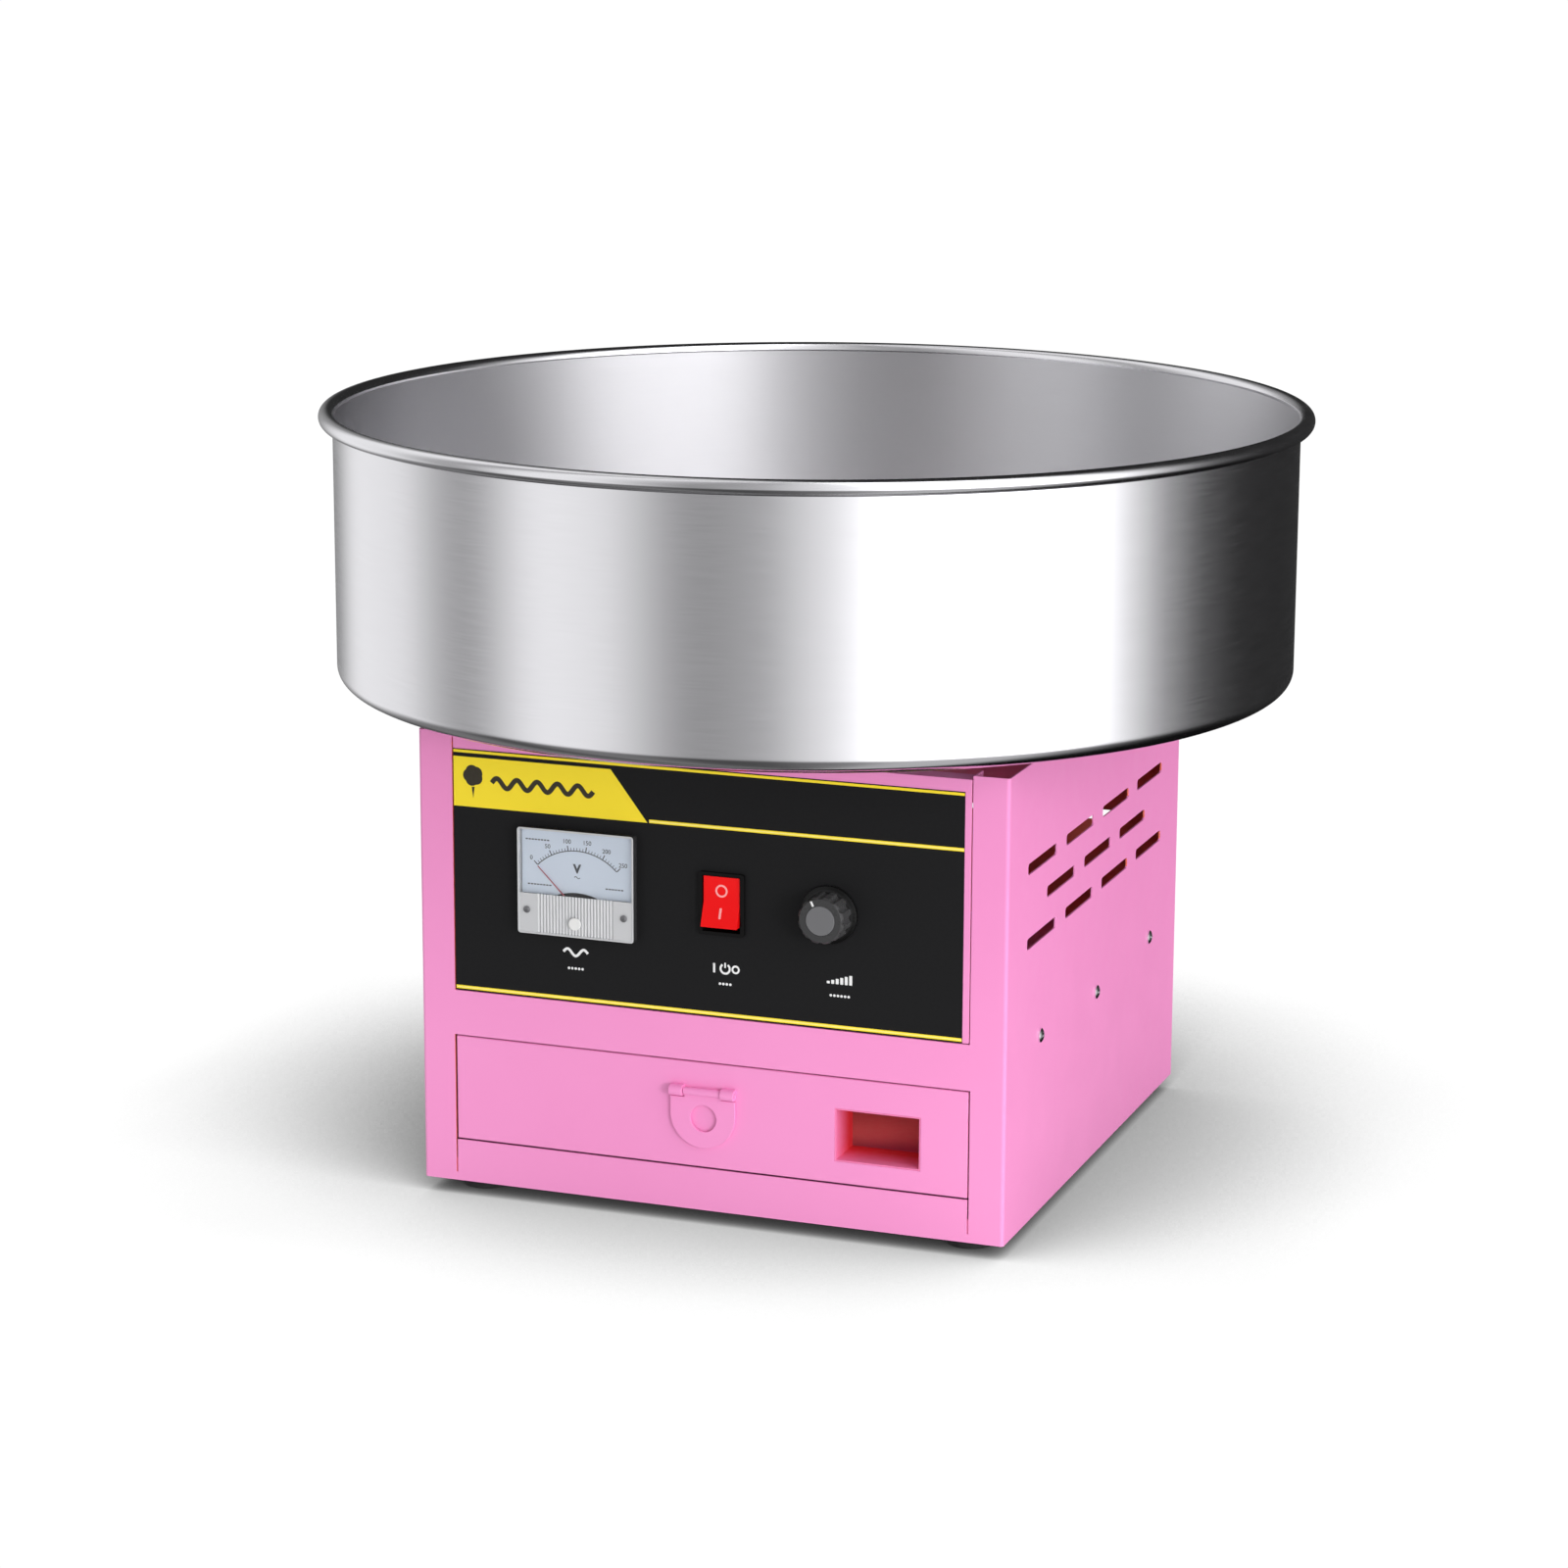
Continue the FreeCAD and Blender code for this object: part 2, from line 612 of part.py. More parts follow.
def voltmeter():
    """Moving-coil panel meter: case, movement, dial, clear cover, screws, zero screw and needle."""
    x = d.meter_x
    z = d.meter_z
    half_w = d.meter_width / 2
    half_h = d.meter_height / 2
    wall = 1.0
    can_wall = 1.5
    inset = wall + 0.1
    face = front - d.meter_proud
    case_face = panel_face - 1.2
    can_back = front + 30
    can_place = (x, z - d.meter_can_drop)
    flange = slab((x - half_w + inset, x + half_w - inset), (case_face, panel_face),
                  (z - half_h + inset, z + half_h - inset))
    can = rod(d.meter_can, "Y", can_place, (panel_face - 1, can_back))
    hollow = rod(d.meter_can - can_wall, "Y", can_place, (case_face - 1, can_back - can_wall))
    screw_places = [(x + side * 26.9, z - 15.3) for side in (-1, 1)]
    thread = 1.2
    threads = [rod(thread + 0.05, "Y", xz, (case_face - 1, panel_face + 1)) for xz in screw_places]
    node("meter_case", cut(fuse(flange, can), hollow, *threads))
    node("meter_movement", tube(8, 1, "Y", (x, d.needle_z), (case_face + 1.5, can_back - 6)))
    node("meter_dial", slab((x - 30.7, x + 30.7), (case_face - 0.6, case_face), (z - 9, z + 26.5)))

    cover = slab((x - half_w, x + half_w), (face, panel_face), (z - half_h, z + half_h))
    inside = slab((x - half_w + wall, x + half_w - wall), (face + 1, panel_face + 1),
                  (z - half_h + wall, z + half_h - wall))
    holes = [rod(thread + 0.2, "Y", xz, (face - 1, panel_face)) for xz in screw_places]
    zero_place = (x, z - 20.6)
    zero_neck = 2.7
    holes.append(rod(zero_neck + 0.1, "Y", zero_place, (face - 1, panel_face)))
    node("meter_cover", cut(rounded(cover, 1.6, [ALONG_Y]), inside, *holes))
    node("meter_screws", group([fuse(rod(2.3, "Y", xz, (face - 1.0, face)),
                                     rod(thread, "Y", xz, (face - 0.5, panel_face - 0.5)))
                                for xz in screw_places]))
    node("meter_zero_screw", fuse(rod(zero_neck, "Y", zero_place, (face - 1.1, face + 1.4)),
                                  rod(3.3, "Y", zero_place, (face - 1.1, face - 0.1))))

    hub_y = case_face - 1.9
    needle = fuse(rod(2.4, "Y", (0, 0), (hub_y, hub_y + 0.8)),
                  rod(0.6, "Y", (0, 0), (hub_y, case_face + 8)),
                  slab((-0.35, 0.35), (hub_y + 0.2, hub_y + 0.6), (0, d.needle_length)),
                  slab((-0.9, 0.9), (hub_y + 0.2, hub_y + 0.6), (-6, 0)))
    node("meter_needle", needle)
    place(needle, (x, 0, d.needle_z), FreeCAD.Rotation(FreeCAD.Vector(0, 1, 0), -45))


def rocker_switch():
    """Snap-in switch housing, and the red rocker that tips on its pivot."""
    x = d.switch_x
    z = d.switch_z
    bezel_face = panel_face - 2
    bezel = rounded(slab((x - 12.4, x + 12.4), (bezel_face, panel_face), (z - 16.4, z + 16.4)), 1.5,
                    [ALONG_Y])
    barrel = slab((x - 11, x + 11), (panel_face - 1, front + 32), (z - 15.3, z + 15.3))
    well = slab((x - 10.3, x + 10.3), (bezel_face - 1, front + 12), (z - 14.6, z + 14.6))
    pivot_y = front + d.rocker_pivot
    axle_radius = 1.5
    axle_half = 10.8
    journals = rod(axle_radius + 0.1, "X", (pivot_y, z), (x - 12, x + 12))
    tabs = [slab((x + side - 3.1, x + side + 3.1), (front + 31, front + 41),
                 (z + level - 0.4, z + level + 0.4)) for side in (-5, 5) for level in (-9, 0, 9)]
    node("switch_housing", cut(fuse(bezel, barrel, *tabs), well, journals))

    rocker = new_body("rocker")
    side = new_sketch(rocker, "YZ_Plane", -d.rocker_width / 2)
    reach = d.rocker_half
    crease = -5.6
    tip = -7.9
    back = 3.5
    back_half = 10.5
    outline(side, [(crease, 0), (tip, -reach), (back, -back_half), (back, back_half), (tip, reach)])
    pad(rocker, side, d.rocker_width)
    axle = new_sketch(rocker, "YZ_Plane", -axle_half)
    circle(axle, 0, 0, axle_radius)
    pad(rocker, axle, 2 * axle_half)
    place(rocker, (x, pivot_y, z), FreeCAD.Rotation(FreeCAD.Vector(1, 0, 0), -float(d.rocker_tilt)))


def heat_knob():
    """Potentiometer on the panel, with a fluted knob and its cap on the shaft."""
    x = d.knob_x
    z = d.knob_z
    shaft = 3
    inside = rod(shaft + 0.05, "Y", (x, z), (front - 6, front + 20))
    bush = rod(4.5, "Y", (x, z), (front - 3.6, front + 3))
    can = rod(12, "Y", (x, z), (front + d.metal, front + 13))
    terminals = slab((x - 7, x + 7), (front + 5, front + 6.5), (z - 18, z - 10))
    node("potentiometer", cut(fuse(bush, can, terminals), inside))
    node("knob_shaft", rod(shaft, "Y", (x, z), (front - 11, front + 12)))

    top = d.knob_proud
    knob = turned("knob_body", [
        (shaft, 4.2), (8.8, 4.2), (8.8, 0.9), (d.knob_skirt, 0.9), (d.knob_skirt, 2.6),
        (d.knob_radius + 0.4, 3.6), (d.knob_radius, top - 1.2), (d.knob_radius - 1.2, top),
        (7.7, top), (7.7, top - 1), (0, top - 1), (0, 11), (shaft, 11)])
    flute = new_sketch(knob, "XY_Plane", top + 1)
    circle(flute, d.knob_radius + 1.1, 0, 2.0)
    polar(knob, pocket(knob, flute, top - 2.6), 12)
    place(knob, (x, front, z), AXIS_TURN["-Y"])
    cap = turned("knob_cap", [(0, top - 1), (7.6, top - 1), (7.6, top + 0.2), (0, top + 0.2)])
    place(cap, (x, front, z), AXIS_TURN["-Y"])


def control_board():
    """Heat control board on posts beside the motor, with its heat sink."""
    back = -140
    face = back + 1.6
    board = slab((back, face), (-60, 40), (125, 195))
    corners = [(y, z) for y in (-54, 34) for z in (131, 189)]
    posts = [rod(3, "X", yz, (-inner_x, back)) for yz in corners]
    relay = slab((face, face + 16.4), (-50, -30), (135, 163))
    choke = rod(9, "X", (-6, 145), (face, face + 12.4))
    bridge_top = face + 8.4
    bridge = slab((face, bridge_top), (12, 32), (150, 180))
    node("control_board", fuse(board, *posts, relay, choke, bridge))
    sink_z = (140, 190)
    spine_top = bridge_top + 3
    fin_pitch = 6
    fin = 1.5
    spine = slab((bridge_top, spine_top), (8, 36), sink_z)
    fins = [slab((spine_top, spine_top + 12), (10 + fin_pitch * i, 10 + fin + fin_pitch * i), sink_z)
            for i in range(5)]
    node("heat_sink", fuse(spine, *fins))


# ---------------------------------------------------------------- drawer

def drawer():
    """Drawer front, tray and the folded sleeve that lines the window."""
    window_x = (d.window_left, d.window_right)
    window_z = (d.window_low, d.window_high)
    pan = slab((-d.drawer_half, d.drawer_half), (front, front + 12), (d.drawer_low, d.drawer_high))
    hollow = slab((-d.drawer_half + d.metal, d.drawer_half - d.metal), (front + d.metal, front + 13),
                  (d.drawer_low + d.metal, d.drawer_high - d.metal))
    window = slab(window_x, (front - 1, front + 3), window_z)
    node("drawer_front", cut(rounded(pan, d.drawer_edge, [ALONG_X, ALONG_Z], True), hollow, window))

    thin = d.tray_metal
    start = front + d.metal
    tray = slab((-d.tray_half, d.tray_half), (start, d.tray_back), (d.tray_low, d.tray_high))
    hollow = slab((-d.tray_half + thin, d.tray_half - thin), (start + thin, d.tray_back - thin),
                  (d.tray_low + thin, d.tray_high + 1))
    window = slab(window_x, (front - 1, front + 5), window_z)
    node("drawer_tray", cut(tray, hollow, window))

    play = 0.05
    outer_x = (window_x[0] + play, window_x[1] - play)
    outer_z = (window_z[0] + play, window_z[1] - play)
    sleeve = slab(outer_x, (front + 0.2, front + d.sleeve_depth), outer_z)
    bore = slab((outer_x[0] + thin, outer_x[1] - thin), (front - 1, front + d.sleeve_depth + 1),
                (outer_z[0] + thin, outer_z[1] - thin))
    node("window_sleeve", cut(sleeve, bore))


def ring_pull():
    """D-shaped flap that hangs from a pin between two ears on the drawer front."""
    axis = (d.pull_axis_y, d.pull_axis_z)
    left = d.pull_x - d.pull_width / 2
    right = d.pull_x + d.pull_width / 2
    ear = 2.9
    ear_width = 7.4
    ears = []
    for span in ((left, left + ear_width), (right - ear_width, right)):
        barrel = rod(ear, "X", axis, span)
        block = slab(span, (d.pull_axis_y, front), (d.pull_axis_z - ear, d.pull_axis_z + ear))
        outside = slab(span, (front, front + 5), (d.pull_axis_z - 5, d.pull_axis_z + 5))
        ears.append(cut(fuse(barrel, block), outside, rod(1.25, "X", axis, (left - 1, right + 1))))
    node("pull_ears", group(ears))
    node("pull_pin", rod(1.2, "X", axis, (left + 0.3, right - 0.3)))

    tab = new_body("pull_tab")
    face = new_sketch(tab, "XZ_Plane", half_depth + 0.4)
    radius = d.pull_width / 2
    shoulder = d.pull_axis_z - 3.5
    spring_line = d.pull_low + radius
    neck_left = left + ear_width + 0.3
    neck_right = right - ear_width - 0.3
    outline(face, [(left, spring_line), (right, spring_line), (right, shoulder),
                   (neck_right, shoulder), (neck_right, d.pull_axis_z), (neck_left, d.pull_axis_z),
                   (neck_left, shoulder), (left, shoulder)],
            {0: (radius * 1.0001, 1, False)})
    pad(tab, face, 1.5)
    hole = new_sketch(tab, "XZ_Plane", half_depth)
    circle(hole, d.pull_x + 0.4, d.pull_hole_z, d.pull_hole)
    pocket(tab, hole)
    knuckle = new_sketch(tab, "YZ_Plane", neck_left)
    circle(knuckle, d.pull_axis_y, d.pull_axis_z, 2.0)
    pad(tab, knuckle, neck_right - neck_left)
    bore = new_sketch(tab, "YZ_Plane", 0.0)
    circle(bore, d.pull_axis_y, d.pull_axis_z, 1.25)
    pocket(tab, bore)


# ---------------------------------------------------------------- bowl

def bowl():
    """Spun bowl with a rolled rim, open in the middle round an upturned lip."""
    thick = d.bowl_metal
    outer = d.bowl_radius
    inner = outer - thick
    floor = d.bowl_bottom
    rim_centre = (inner + d.rim_radius, d.rim_top - d.rim_radius)
    inner_curl = d.rim_radius - thick
    stop = math.radians(50)
    tip = (rim_centre[0] - d.rim_radius * math.cos(stop), rim_centre[1] - d.rim_radius * math.sin(stop))
    tail = (rim_centre[0] - inner_curl * math.cos(stop), rim_centre[1] - inner_curl * math.sin(stop))
    corner = d.bowl_corner
    lip = 3.0
    corners = [
        (d.bowl_hole + lip, floor), (outer - corner, floor), (outer, floor + corner),
        (outer, rim_centre[1]), tail, tip, (inner, rim_centre[1]),
        (inner, floor + corner), (outer - corner, floor + thick),
        (d.bowl_hole + lip, floor + thick), (d.bowl_hole + thick, floor + lip),
        (d.bowl_hole + thick, d.bowl_lip_top), (d.bowl_hole, d.bowl_lip_top),
        (d.bowl_hole, floor + lip)]
    arcs = {
        1: (corner, 1, False), 3: (inner_curl, -1, True), 5: (d.rim_radius, 1, True),
        7: (corner - thick, -1, False), 9: (lip - thick, -1, False), 13: (lip, 1, False)}
    turned("bowl", corners, arcs)


# ---------------------------------------------------------------- motor and spinner

def bearing_bell(label, edge, outer_end, direction):
    """An end bell with a bearing seat; direction is +1 when it closes upward."""
    def up(height):
        return outer_end - direction * height

    bell = turned(label, [
        (6.5, up(0)), (d.motor_radius, up(0)), (d.motor_radius, edge), (42, edge), (42, up(4)),
        (16, up(4)), (16, up(11)), (13, up(11)), (13, up(3)), (6.5, up(3))])
    holes = new_sketch(bell, "XY_Plane", edge)
    for x, y in BOLTS:
        circle(holes, x, y, M4_HOLE)
    pocket(bell, holes)
    low, high = sorted((up(11), up(3)))
    return low, high


def motor():
    low_edge = d.motor_low + 20
    high_edge = d.motor_high - 20
    seats = [bearing_bell("motor_lower_bell", low_edge, d.motor_low, -1),
             bearing_bell("motor_upper_bell", high_edge, d.motor_high, 1)]
    node("motor_bearings", group([tube(13, d.shaft_radius + 0.05, "Z", (0, 0), seat) for seat in seats]))
    span = (low_edge, high_edge)
    bolts = [rod(M4_HOLE, "Z", xy, (low_edge - 1, high_edge + 1)) for xy in BOLTS]
    node("motor_stator", cut(rod(d.motor_radius, "Z", (0, 0), span),
                             rod(27, "Z", (0, 0), (low_edge - 1, high_edge + 1)), *bolts))
    coils = [tube(41, 29, "Z", (0, 0), ends) for ends in
             ((low_edge - 12, low_edge), (high_edge, high_edge + 12))]
    node("motor_windings", group(coils))
    node("motor_bolts", group([fuse(rod(M4, "Z", xy, (d.motor_low - 5, d.deck_top + 1)),
                                    rod(4, "Z", xy, (d.deck_top, d.deck_top + 3)),
                                    rod(3.8, "Z", xy, (d.motor_low - 3.5, d.motor_low)))
                               for xy in BOLTS]))
    node("motor_spacers", group([tube(5, 2.05, "Z", xy, (d.motor_high, d.deck_top - d.deck_thick))
                                 for xy in BOLTS]))


def brush_gear():
    """Two sprung carbon brushes in a holder under the deck, one for each slip ring."""
    blocks = []
    springs = []
    for name, side, level in (("upper", 1, 226.5), ("lower", -1, 207.5)):
        def reach(near, far):
            return sorted((side * near, side * far))

        blocks.append(cut(slab(reach(24, 48), (-6, 6), (level - 6, level + 6)),
                          slab(reach(23, 46), (-3.1, 3.1), (level - 3.6, level + 3.6))))
        blocks.append(slab(reach(38, 48), (-6, 6), (level + 6, d.deck_top - d.deck_thick)))
        brush = slab(reach(d.ring_radius + 0.1, d.ring_radius + 15), (-3, 3), (level - 3.5, level + 3.5))
        node("carbon_brush_" + name, brush)
        springs.append(tube(2.8, 2.0, "X", (0, level), reach(d.ring_radius + 15, 46)))
    node("brush_holder", group([fuse(*blocks[0:2]), fuse(*blocks[2:4])]))
    node("brush_springs", group(springs))


def spinner():
    """Shaft, rotor, slip rings and the heated head, all turning together."""
    shaft = d.shaft_radius
    node("spinner_shaft", rod(shaft, "Z", (0, 0), (98, 308)))
    node("motor_rotor", tube(26.4, shaft, "Z", (0, 0), (d.motor_low + 18, d.motor_high - 18)))
    hub = tube(8, shaft, "Z", (0, 0), (98, 106))
    blades = []
    for i in range(7):
        blades.append(spoke(360.0 * i / 7, (7, 40), (-0.8, 0.8), (98, 105.5)))
    node("cooling_fan", fuse(hub, *blades))

    node("slip_ring_hub", tube(15, shaft, "Z", (0, 0), (199, 236)))
    node("slip_rings", group([tube(d.ring_radius, 15, "Z", (0, 0), (level - 5, level + 5))
                              for level in (226.5, 207.5)]))

    low = d.head_low
    high = d.head_high
    head = d.head_radius
    posts = compass(77, 4, 45)
    base = turned("head_base", [(shaft, low), (head, low), (head, low + 3), (12, low + 3),
                                (12, low + 9), (shaft, low + 9)])
    holes = new_sketch(base, "XY_Plane", low)
    for x, y in posts:
        circle(holes, x, y, 1.6)
    pocket(base, holes)
    node("heater_element", tube(73, 70.5, "Z", (0, 0), (low + 3, high - 4)))
    band = tube(82.2, 81, "Z", (0, 0), (low + 3, high))
    slits = []
    for i in range(18):
        slits.append(spoke(10.0 * i, (-90, 90), (-1, 1), (low + 7, high - 4)))
    node("head_band", cut(band, *slits))
    cup = d.cup_radius
    cover = turned("head_cover", [(cup + 0.1, high), (head, high), (head, high + 2.4),
                                  (head - 1, high + 3), (cup + 0.1, high + 3)])
    holes = new_sketch(cover, "XY_Plane", high)
    for x, y in posts:
        circle(holes, x, y, 1.7)
    pocket(cover, holes)
    floor = low + 9.2
    cup_body = turned("sugar_cup", [
        (shaft + 0.05, floor), (cup, floor), (cup, d.cup_top - 5), (cup + 4, d.cup_top - 1),
        (cup + 4, d.cup_top), (cup + 3, d.cup_top), (cup - 1.5, d.cup_top - 4.5),
        (cup - 1.5, floor + 1.5), (shaft + 0.05, floor + 1.5)])
    gate = new_sketch(cup_body, "YZ_Plane", 0.0)
    rectangle(gate, (-5, 5), (floor + 3, floor + 10))
    polar(cup_body, pocket(cup_body, gate), 6)
    nut = sized("Prism", Circumradius=9, Height=7)
    nut.Polygon = 6
    place(nut, (0, 0, floor + 1.6))
    node("head_nut", cut(nut, rod(shaft, "Z", (0, 0), (floor, floor + 10))))
    node("head_screws", group([screw("Z", xy, high + 3, 1, (3.4, 2.0), (1.55, 33)) for xy in posts]))


# ---------------------------------------------------------------- build, check and write

def build():
    cabinet_shell()
    rear_panel()
    base_pan()
    divider_shelf()
    drawer_runners()
    top_deck()
    bowl_seat()
    feet_and_screws()
    cable_gland()
    control_panel()
    voltmeter()
    rocker_switch()
    heat_knob()
    control_board()
    drawer()
    ring_pull()
    bowl()
    motor()
    brush_gear()
    spinner()
    doc.recompute()


def check():
    for thing in doc.Objects:
        if "Invalid" in thing.State or "Error" in thing.State:
            raise ValueError("%s (%s) failed: %s" % (thing.Label, thing.Name, thing.State))
    for label, thing in nodes.items():
        if thing.Shape.isNull() or not thing.Shape.isValid() or not thing.Shape.Solids:
            raise ValueError("%s has no valid solid" % label)


def write():
    os.makedirs("parts", exist_ok=True)
    for label, thing in nodes.items():
        thing.Shape.exportStep(os.path.join("parts", label + ".step"))
        print("%-22s solids %2d  volume %10.1f" % (label, len(thing.Shape.Solids), thing.Shape.Volume))


build()
check()
write()
print(len(nodes), "nodes")
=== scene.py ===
import json
import math

import bmesh
import bpy
from mathutils import Matrix, Vector


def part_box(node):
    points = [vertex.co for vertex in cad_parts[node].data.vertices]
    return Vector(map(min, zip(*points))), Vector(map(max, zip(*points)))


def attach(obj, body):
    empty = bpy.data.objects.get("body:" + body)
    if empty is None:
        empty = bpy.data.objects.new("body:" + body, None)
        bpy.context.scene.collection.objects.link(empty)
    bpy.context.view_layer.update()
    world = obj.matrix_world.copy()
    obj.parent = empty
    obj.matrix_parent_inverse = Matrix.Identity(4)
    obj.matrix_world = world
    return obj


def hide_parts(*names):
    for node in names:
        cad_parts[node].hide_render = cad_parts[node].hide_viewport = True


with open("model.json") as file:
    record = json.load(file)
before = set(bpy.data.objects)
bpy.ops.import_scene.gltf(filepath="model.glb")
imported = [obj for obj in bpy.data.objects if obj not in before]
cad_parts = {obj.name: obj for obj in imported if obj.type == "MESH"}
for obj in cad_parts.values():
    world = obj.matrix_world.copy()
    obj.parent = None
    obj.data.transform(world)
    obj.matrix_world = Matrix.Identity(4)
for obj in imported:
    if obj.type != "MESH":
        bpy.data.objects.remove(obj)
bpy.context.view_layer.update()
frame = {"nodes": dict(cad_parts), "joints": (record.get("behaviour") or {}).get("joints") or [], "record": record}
nodes = frame["nodes"]
MM = 0.001


# ---------------------------------------------------------------- camera, light and floor

CAMERA_AZIMUTH = math.radians(20.253)
CAMERA_ELEVATION = math.radians(13.075)
CAMERA_ROLL = math.radians(0.210)
CAMERA_PLACE = Vector((0.7619, -2.1123, 0.7209))
CAMERA_LENS = 97.92

# The studio's brightness by direction from the machine: 0 degrees is towards the camera, and the
# angle grows to the camera's right. Its blue is a little stronger than its red and green.
STUDIO_PANELS = [
    (-180, 0.02), (-160, 0.3), (-137, 1.02), (-117, 0.98), (-90, 0.38), (-66, 1.08), (-54, 1.0),
    (-27, 0.32), (-14, 0.42), (0, 0.85), (9, 1.15), (22, 2.8), (56, 2.8), (68, 1.6), (79, 0.8),
    (90, 0.3), (102, 0.07), (118, 0.02), (180, 0.02)]
PANEL_BLUE = 1.01

# The share of that light which matt surfaces get, the heights in degrees between which the panels
# fade out, and the share that is left below.
AMBIENT = 0.3
PANEL_FOOT = (-36, -18)
BELOW_PANELS = 0.2

# The white behind the machine, which is also that of the floor where nothing shades it.
BACKDROP = 1.02

# The round floor's radius, and the distances from its middle at which it starts and ends to fade
# out, in metres.
FLOOR_RADIUS = 0.9
FLOOR_FADE = (0.5, 0.85)

# The contact shadow, painted into the floor's glow from how open it is above: how far off a thing
# still shades the floor, in metres, the way the floor faces for this, the openness at which it is
# full white, and the contrast.
SHADOW_REACH = 0.27
SHADOW_LEAN = (0.3, -0.6, 1.0)
SHADOW_OPEN = 0.94
SHADOW_CONTRAST = 2.3


def make_camera():
    """Camera to the right of the front and a little above, a long lens over two metres away."""
    away = Vector((math.sin(CAMERA_AZIMUTH) * math.cos(CAMERA_ELEVATION),
                   -math.cos(CAMERA_AZIMUTH) * math.cos(CAMERA_ELEVATION),
                   math.sin(CAMERA_ELEVATION)))
    level_right = (-away).cross(Vector((0, 0, 1))).normalized()
    level_up = level_right.cross(-away)
    right = level_right * math.cos(CAMERA_ROLL) + level_up * math.sin(CAMERA_ROLL)
    up = level_up * math.cos(CAMERA_ROLL) - level_right * math.sin(CAMERA_ROLL)
    data = bpy.data.cameras.new("camera")
    data.sensor_width = 36
    data.lens = CAMERA_LENS
    data.clip_end = 100
    camera = bpy.data.objects.new("camera", data)
    bpy.context.collection.objects.link(camera)
    turn = Matrix((right, up, away)).transposed().to_4x4()
    camera.matrix_world = Matrix.Translation(CAMERA_PLACE) @ turn
    bpy.context.scene.camera = camera


def add_math(tree, operation, first, second=None):
    """A math node; each input is a socket or a number."""
    made = tree.nodes.new("ShaderNodeMath")
    made.operation = operation
    for socket, value in zip(made.inputs, (first, second)):
        if isinstance(value, (int, float)):
            socket.default_value = value
        elif value is not None:
            tree.links.new(value, socket)
    return made.outputs[0]


def make_world():
    """A studio of light and dark panels, dimmer below; the camera itself sees a plain white."""
    world = bpy.data.worlds.new("studio")
    bpy.context.scene.world = world
    world.use_nodes = True
    tree = world.node_tree
    tree.nodes.clear()
    coords = tree.nodes.new("ShaderNodeTexCoord")
    split = tree.nodes.new("ShaderNodeSeparateXYZ")
    tree.links.new(coords.outputs["Generated"], split.inputs[0])
    to_front = add_math(tree, "MULTIPLY", split.outputs["Y"], -1)
    turn = add_math(tree, "ARCTAN2", split.outputs["X"], to_front)
    share = tree.nodes.new("ShaderNodeMapRange")
    share.clamp = False
    share.inputs["From Min"].default_value = -math.pi + CAMERA_AZIMUTH
    share.inputs["From Max"].default_value = math.pi + CAMERA_AZIMUTH
    tree.links.new(turn, share.inputs["Value"])
    ramp = tree.nodes.new("ShaderNodeValToRGB")
    ramp.color_ramp.interpolation = "EASE"
    ramp.color_ramp.elements[0].position = 0
    ramp.color_ramp.elements[1].position = 1
    for angle, _ in STUDIO_PANELS[1:-1]:
        ramp.color_ramp.elements.new((angle + 180) / 360)
    for element, (_, level) in zip(ramp.color_ramp.elements, STUDIO_PANELS):
        element.color = (level, level, level * PANEL_BLUE, 1)
    tree.links.new(add_math(tree, "FRACT", share.outputs[0]), ramp.inputs[0])
    rise = tree.nodes.new("ShaderNodeMapRange")
    rise.interpolation_type = "SMOOTHSTEP"
    rise.inputs["From Min"].default_value = math.sin(math.radians(PANEL_FOOT[0]))
    rise.inputs["From Max"].default_value = math.sin(math.radians(PANEL_FOOT[1]))
    rise.inputs["To Min"].default_value = BELOW_PANELS
    tree.links.new(split.outputs["Z"], rise.inputs["Value"])
    seen = tree.nodes.new("ShaderNodeLightPath")
    dimming = add_math(tree, "MULTIPLY", seen.outputs["Is Diffuse Ray"], AMBIENT - 1)
    panels = tree.nodes.new("ShaderNodeBackground")
    tree.links.new(ramp.outputs[0], panels.inputs["Color"])
    tree.links.new(add_math(tree, "MULTIPLY", rise.outputs[0], add_math(tree, "ADD", dimming, 1)),
                   panels.inputs["Strength"])
    backdrop = tree.nodes.new("ShaderNodeBackground")
    backdrop.inputs["Color"].default_value = (BACKDROP, BACKDROP, BACKDROP, 1)
    mix = tree.nodes.new("ShaderNodeMixShader")
    out = tree.nodes.new("ShaderNodeOutputWorld")
    tree.links.new(seen.outputs["Is Camera Ray"], mix.inputs[0])
    tree.links.new(panels.outputs[0], mix.inputs[1])
    tree.links.new(backdrop.outputs[0], mix.inputs[2])
    tree.links.new(mix.outputs[0], out.inputs[0])


def make_softbox(name, place, target, size, power, color=(1, 1, 1)):
    """A rectangular lamp that lights matt surfaces but isn't mirrored in the steel."""
    data = bpy.data.lights.new(name, "AREA")
    data.shape = "RECTANGLE"
    data.size = size[0]
    data.size_y = size[1]
    data.energy = power
    data.color = color
    light = bpy.data.objects.new(name, data)
    bpy.context.collection.objects.link(light)
    light.location = place
    light.rotation_euler = (Vector(target) - Vector(place)).to_track_quat("-Z", "Y").to_euler()
    light.visible_glossy = False


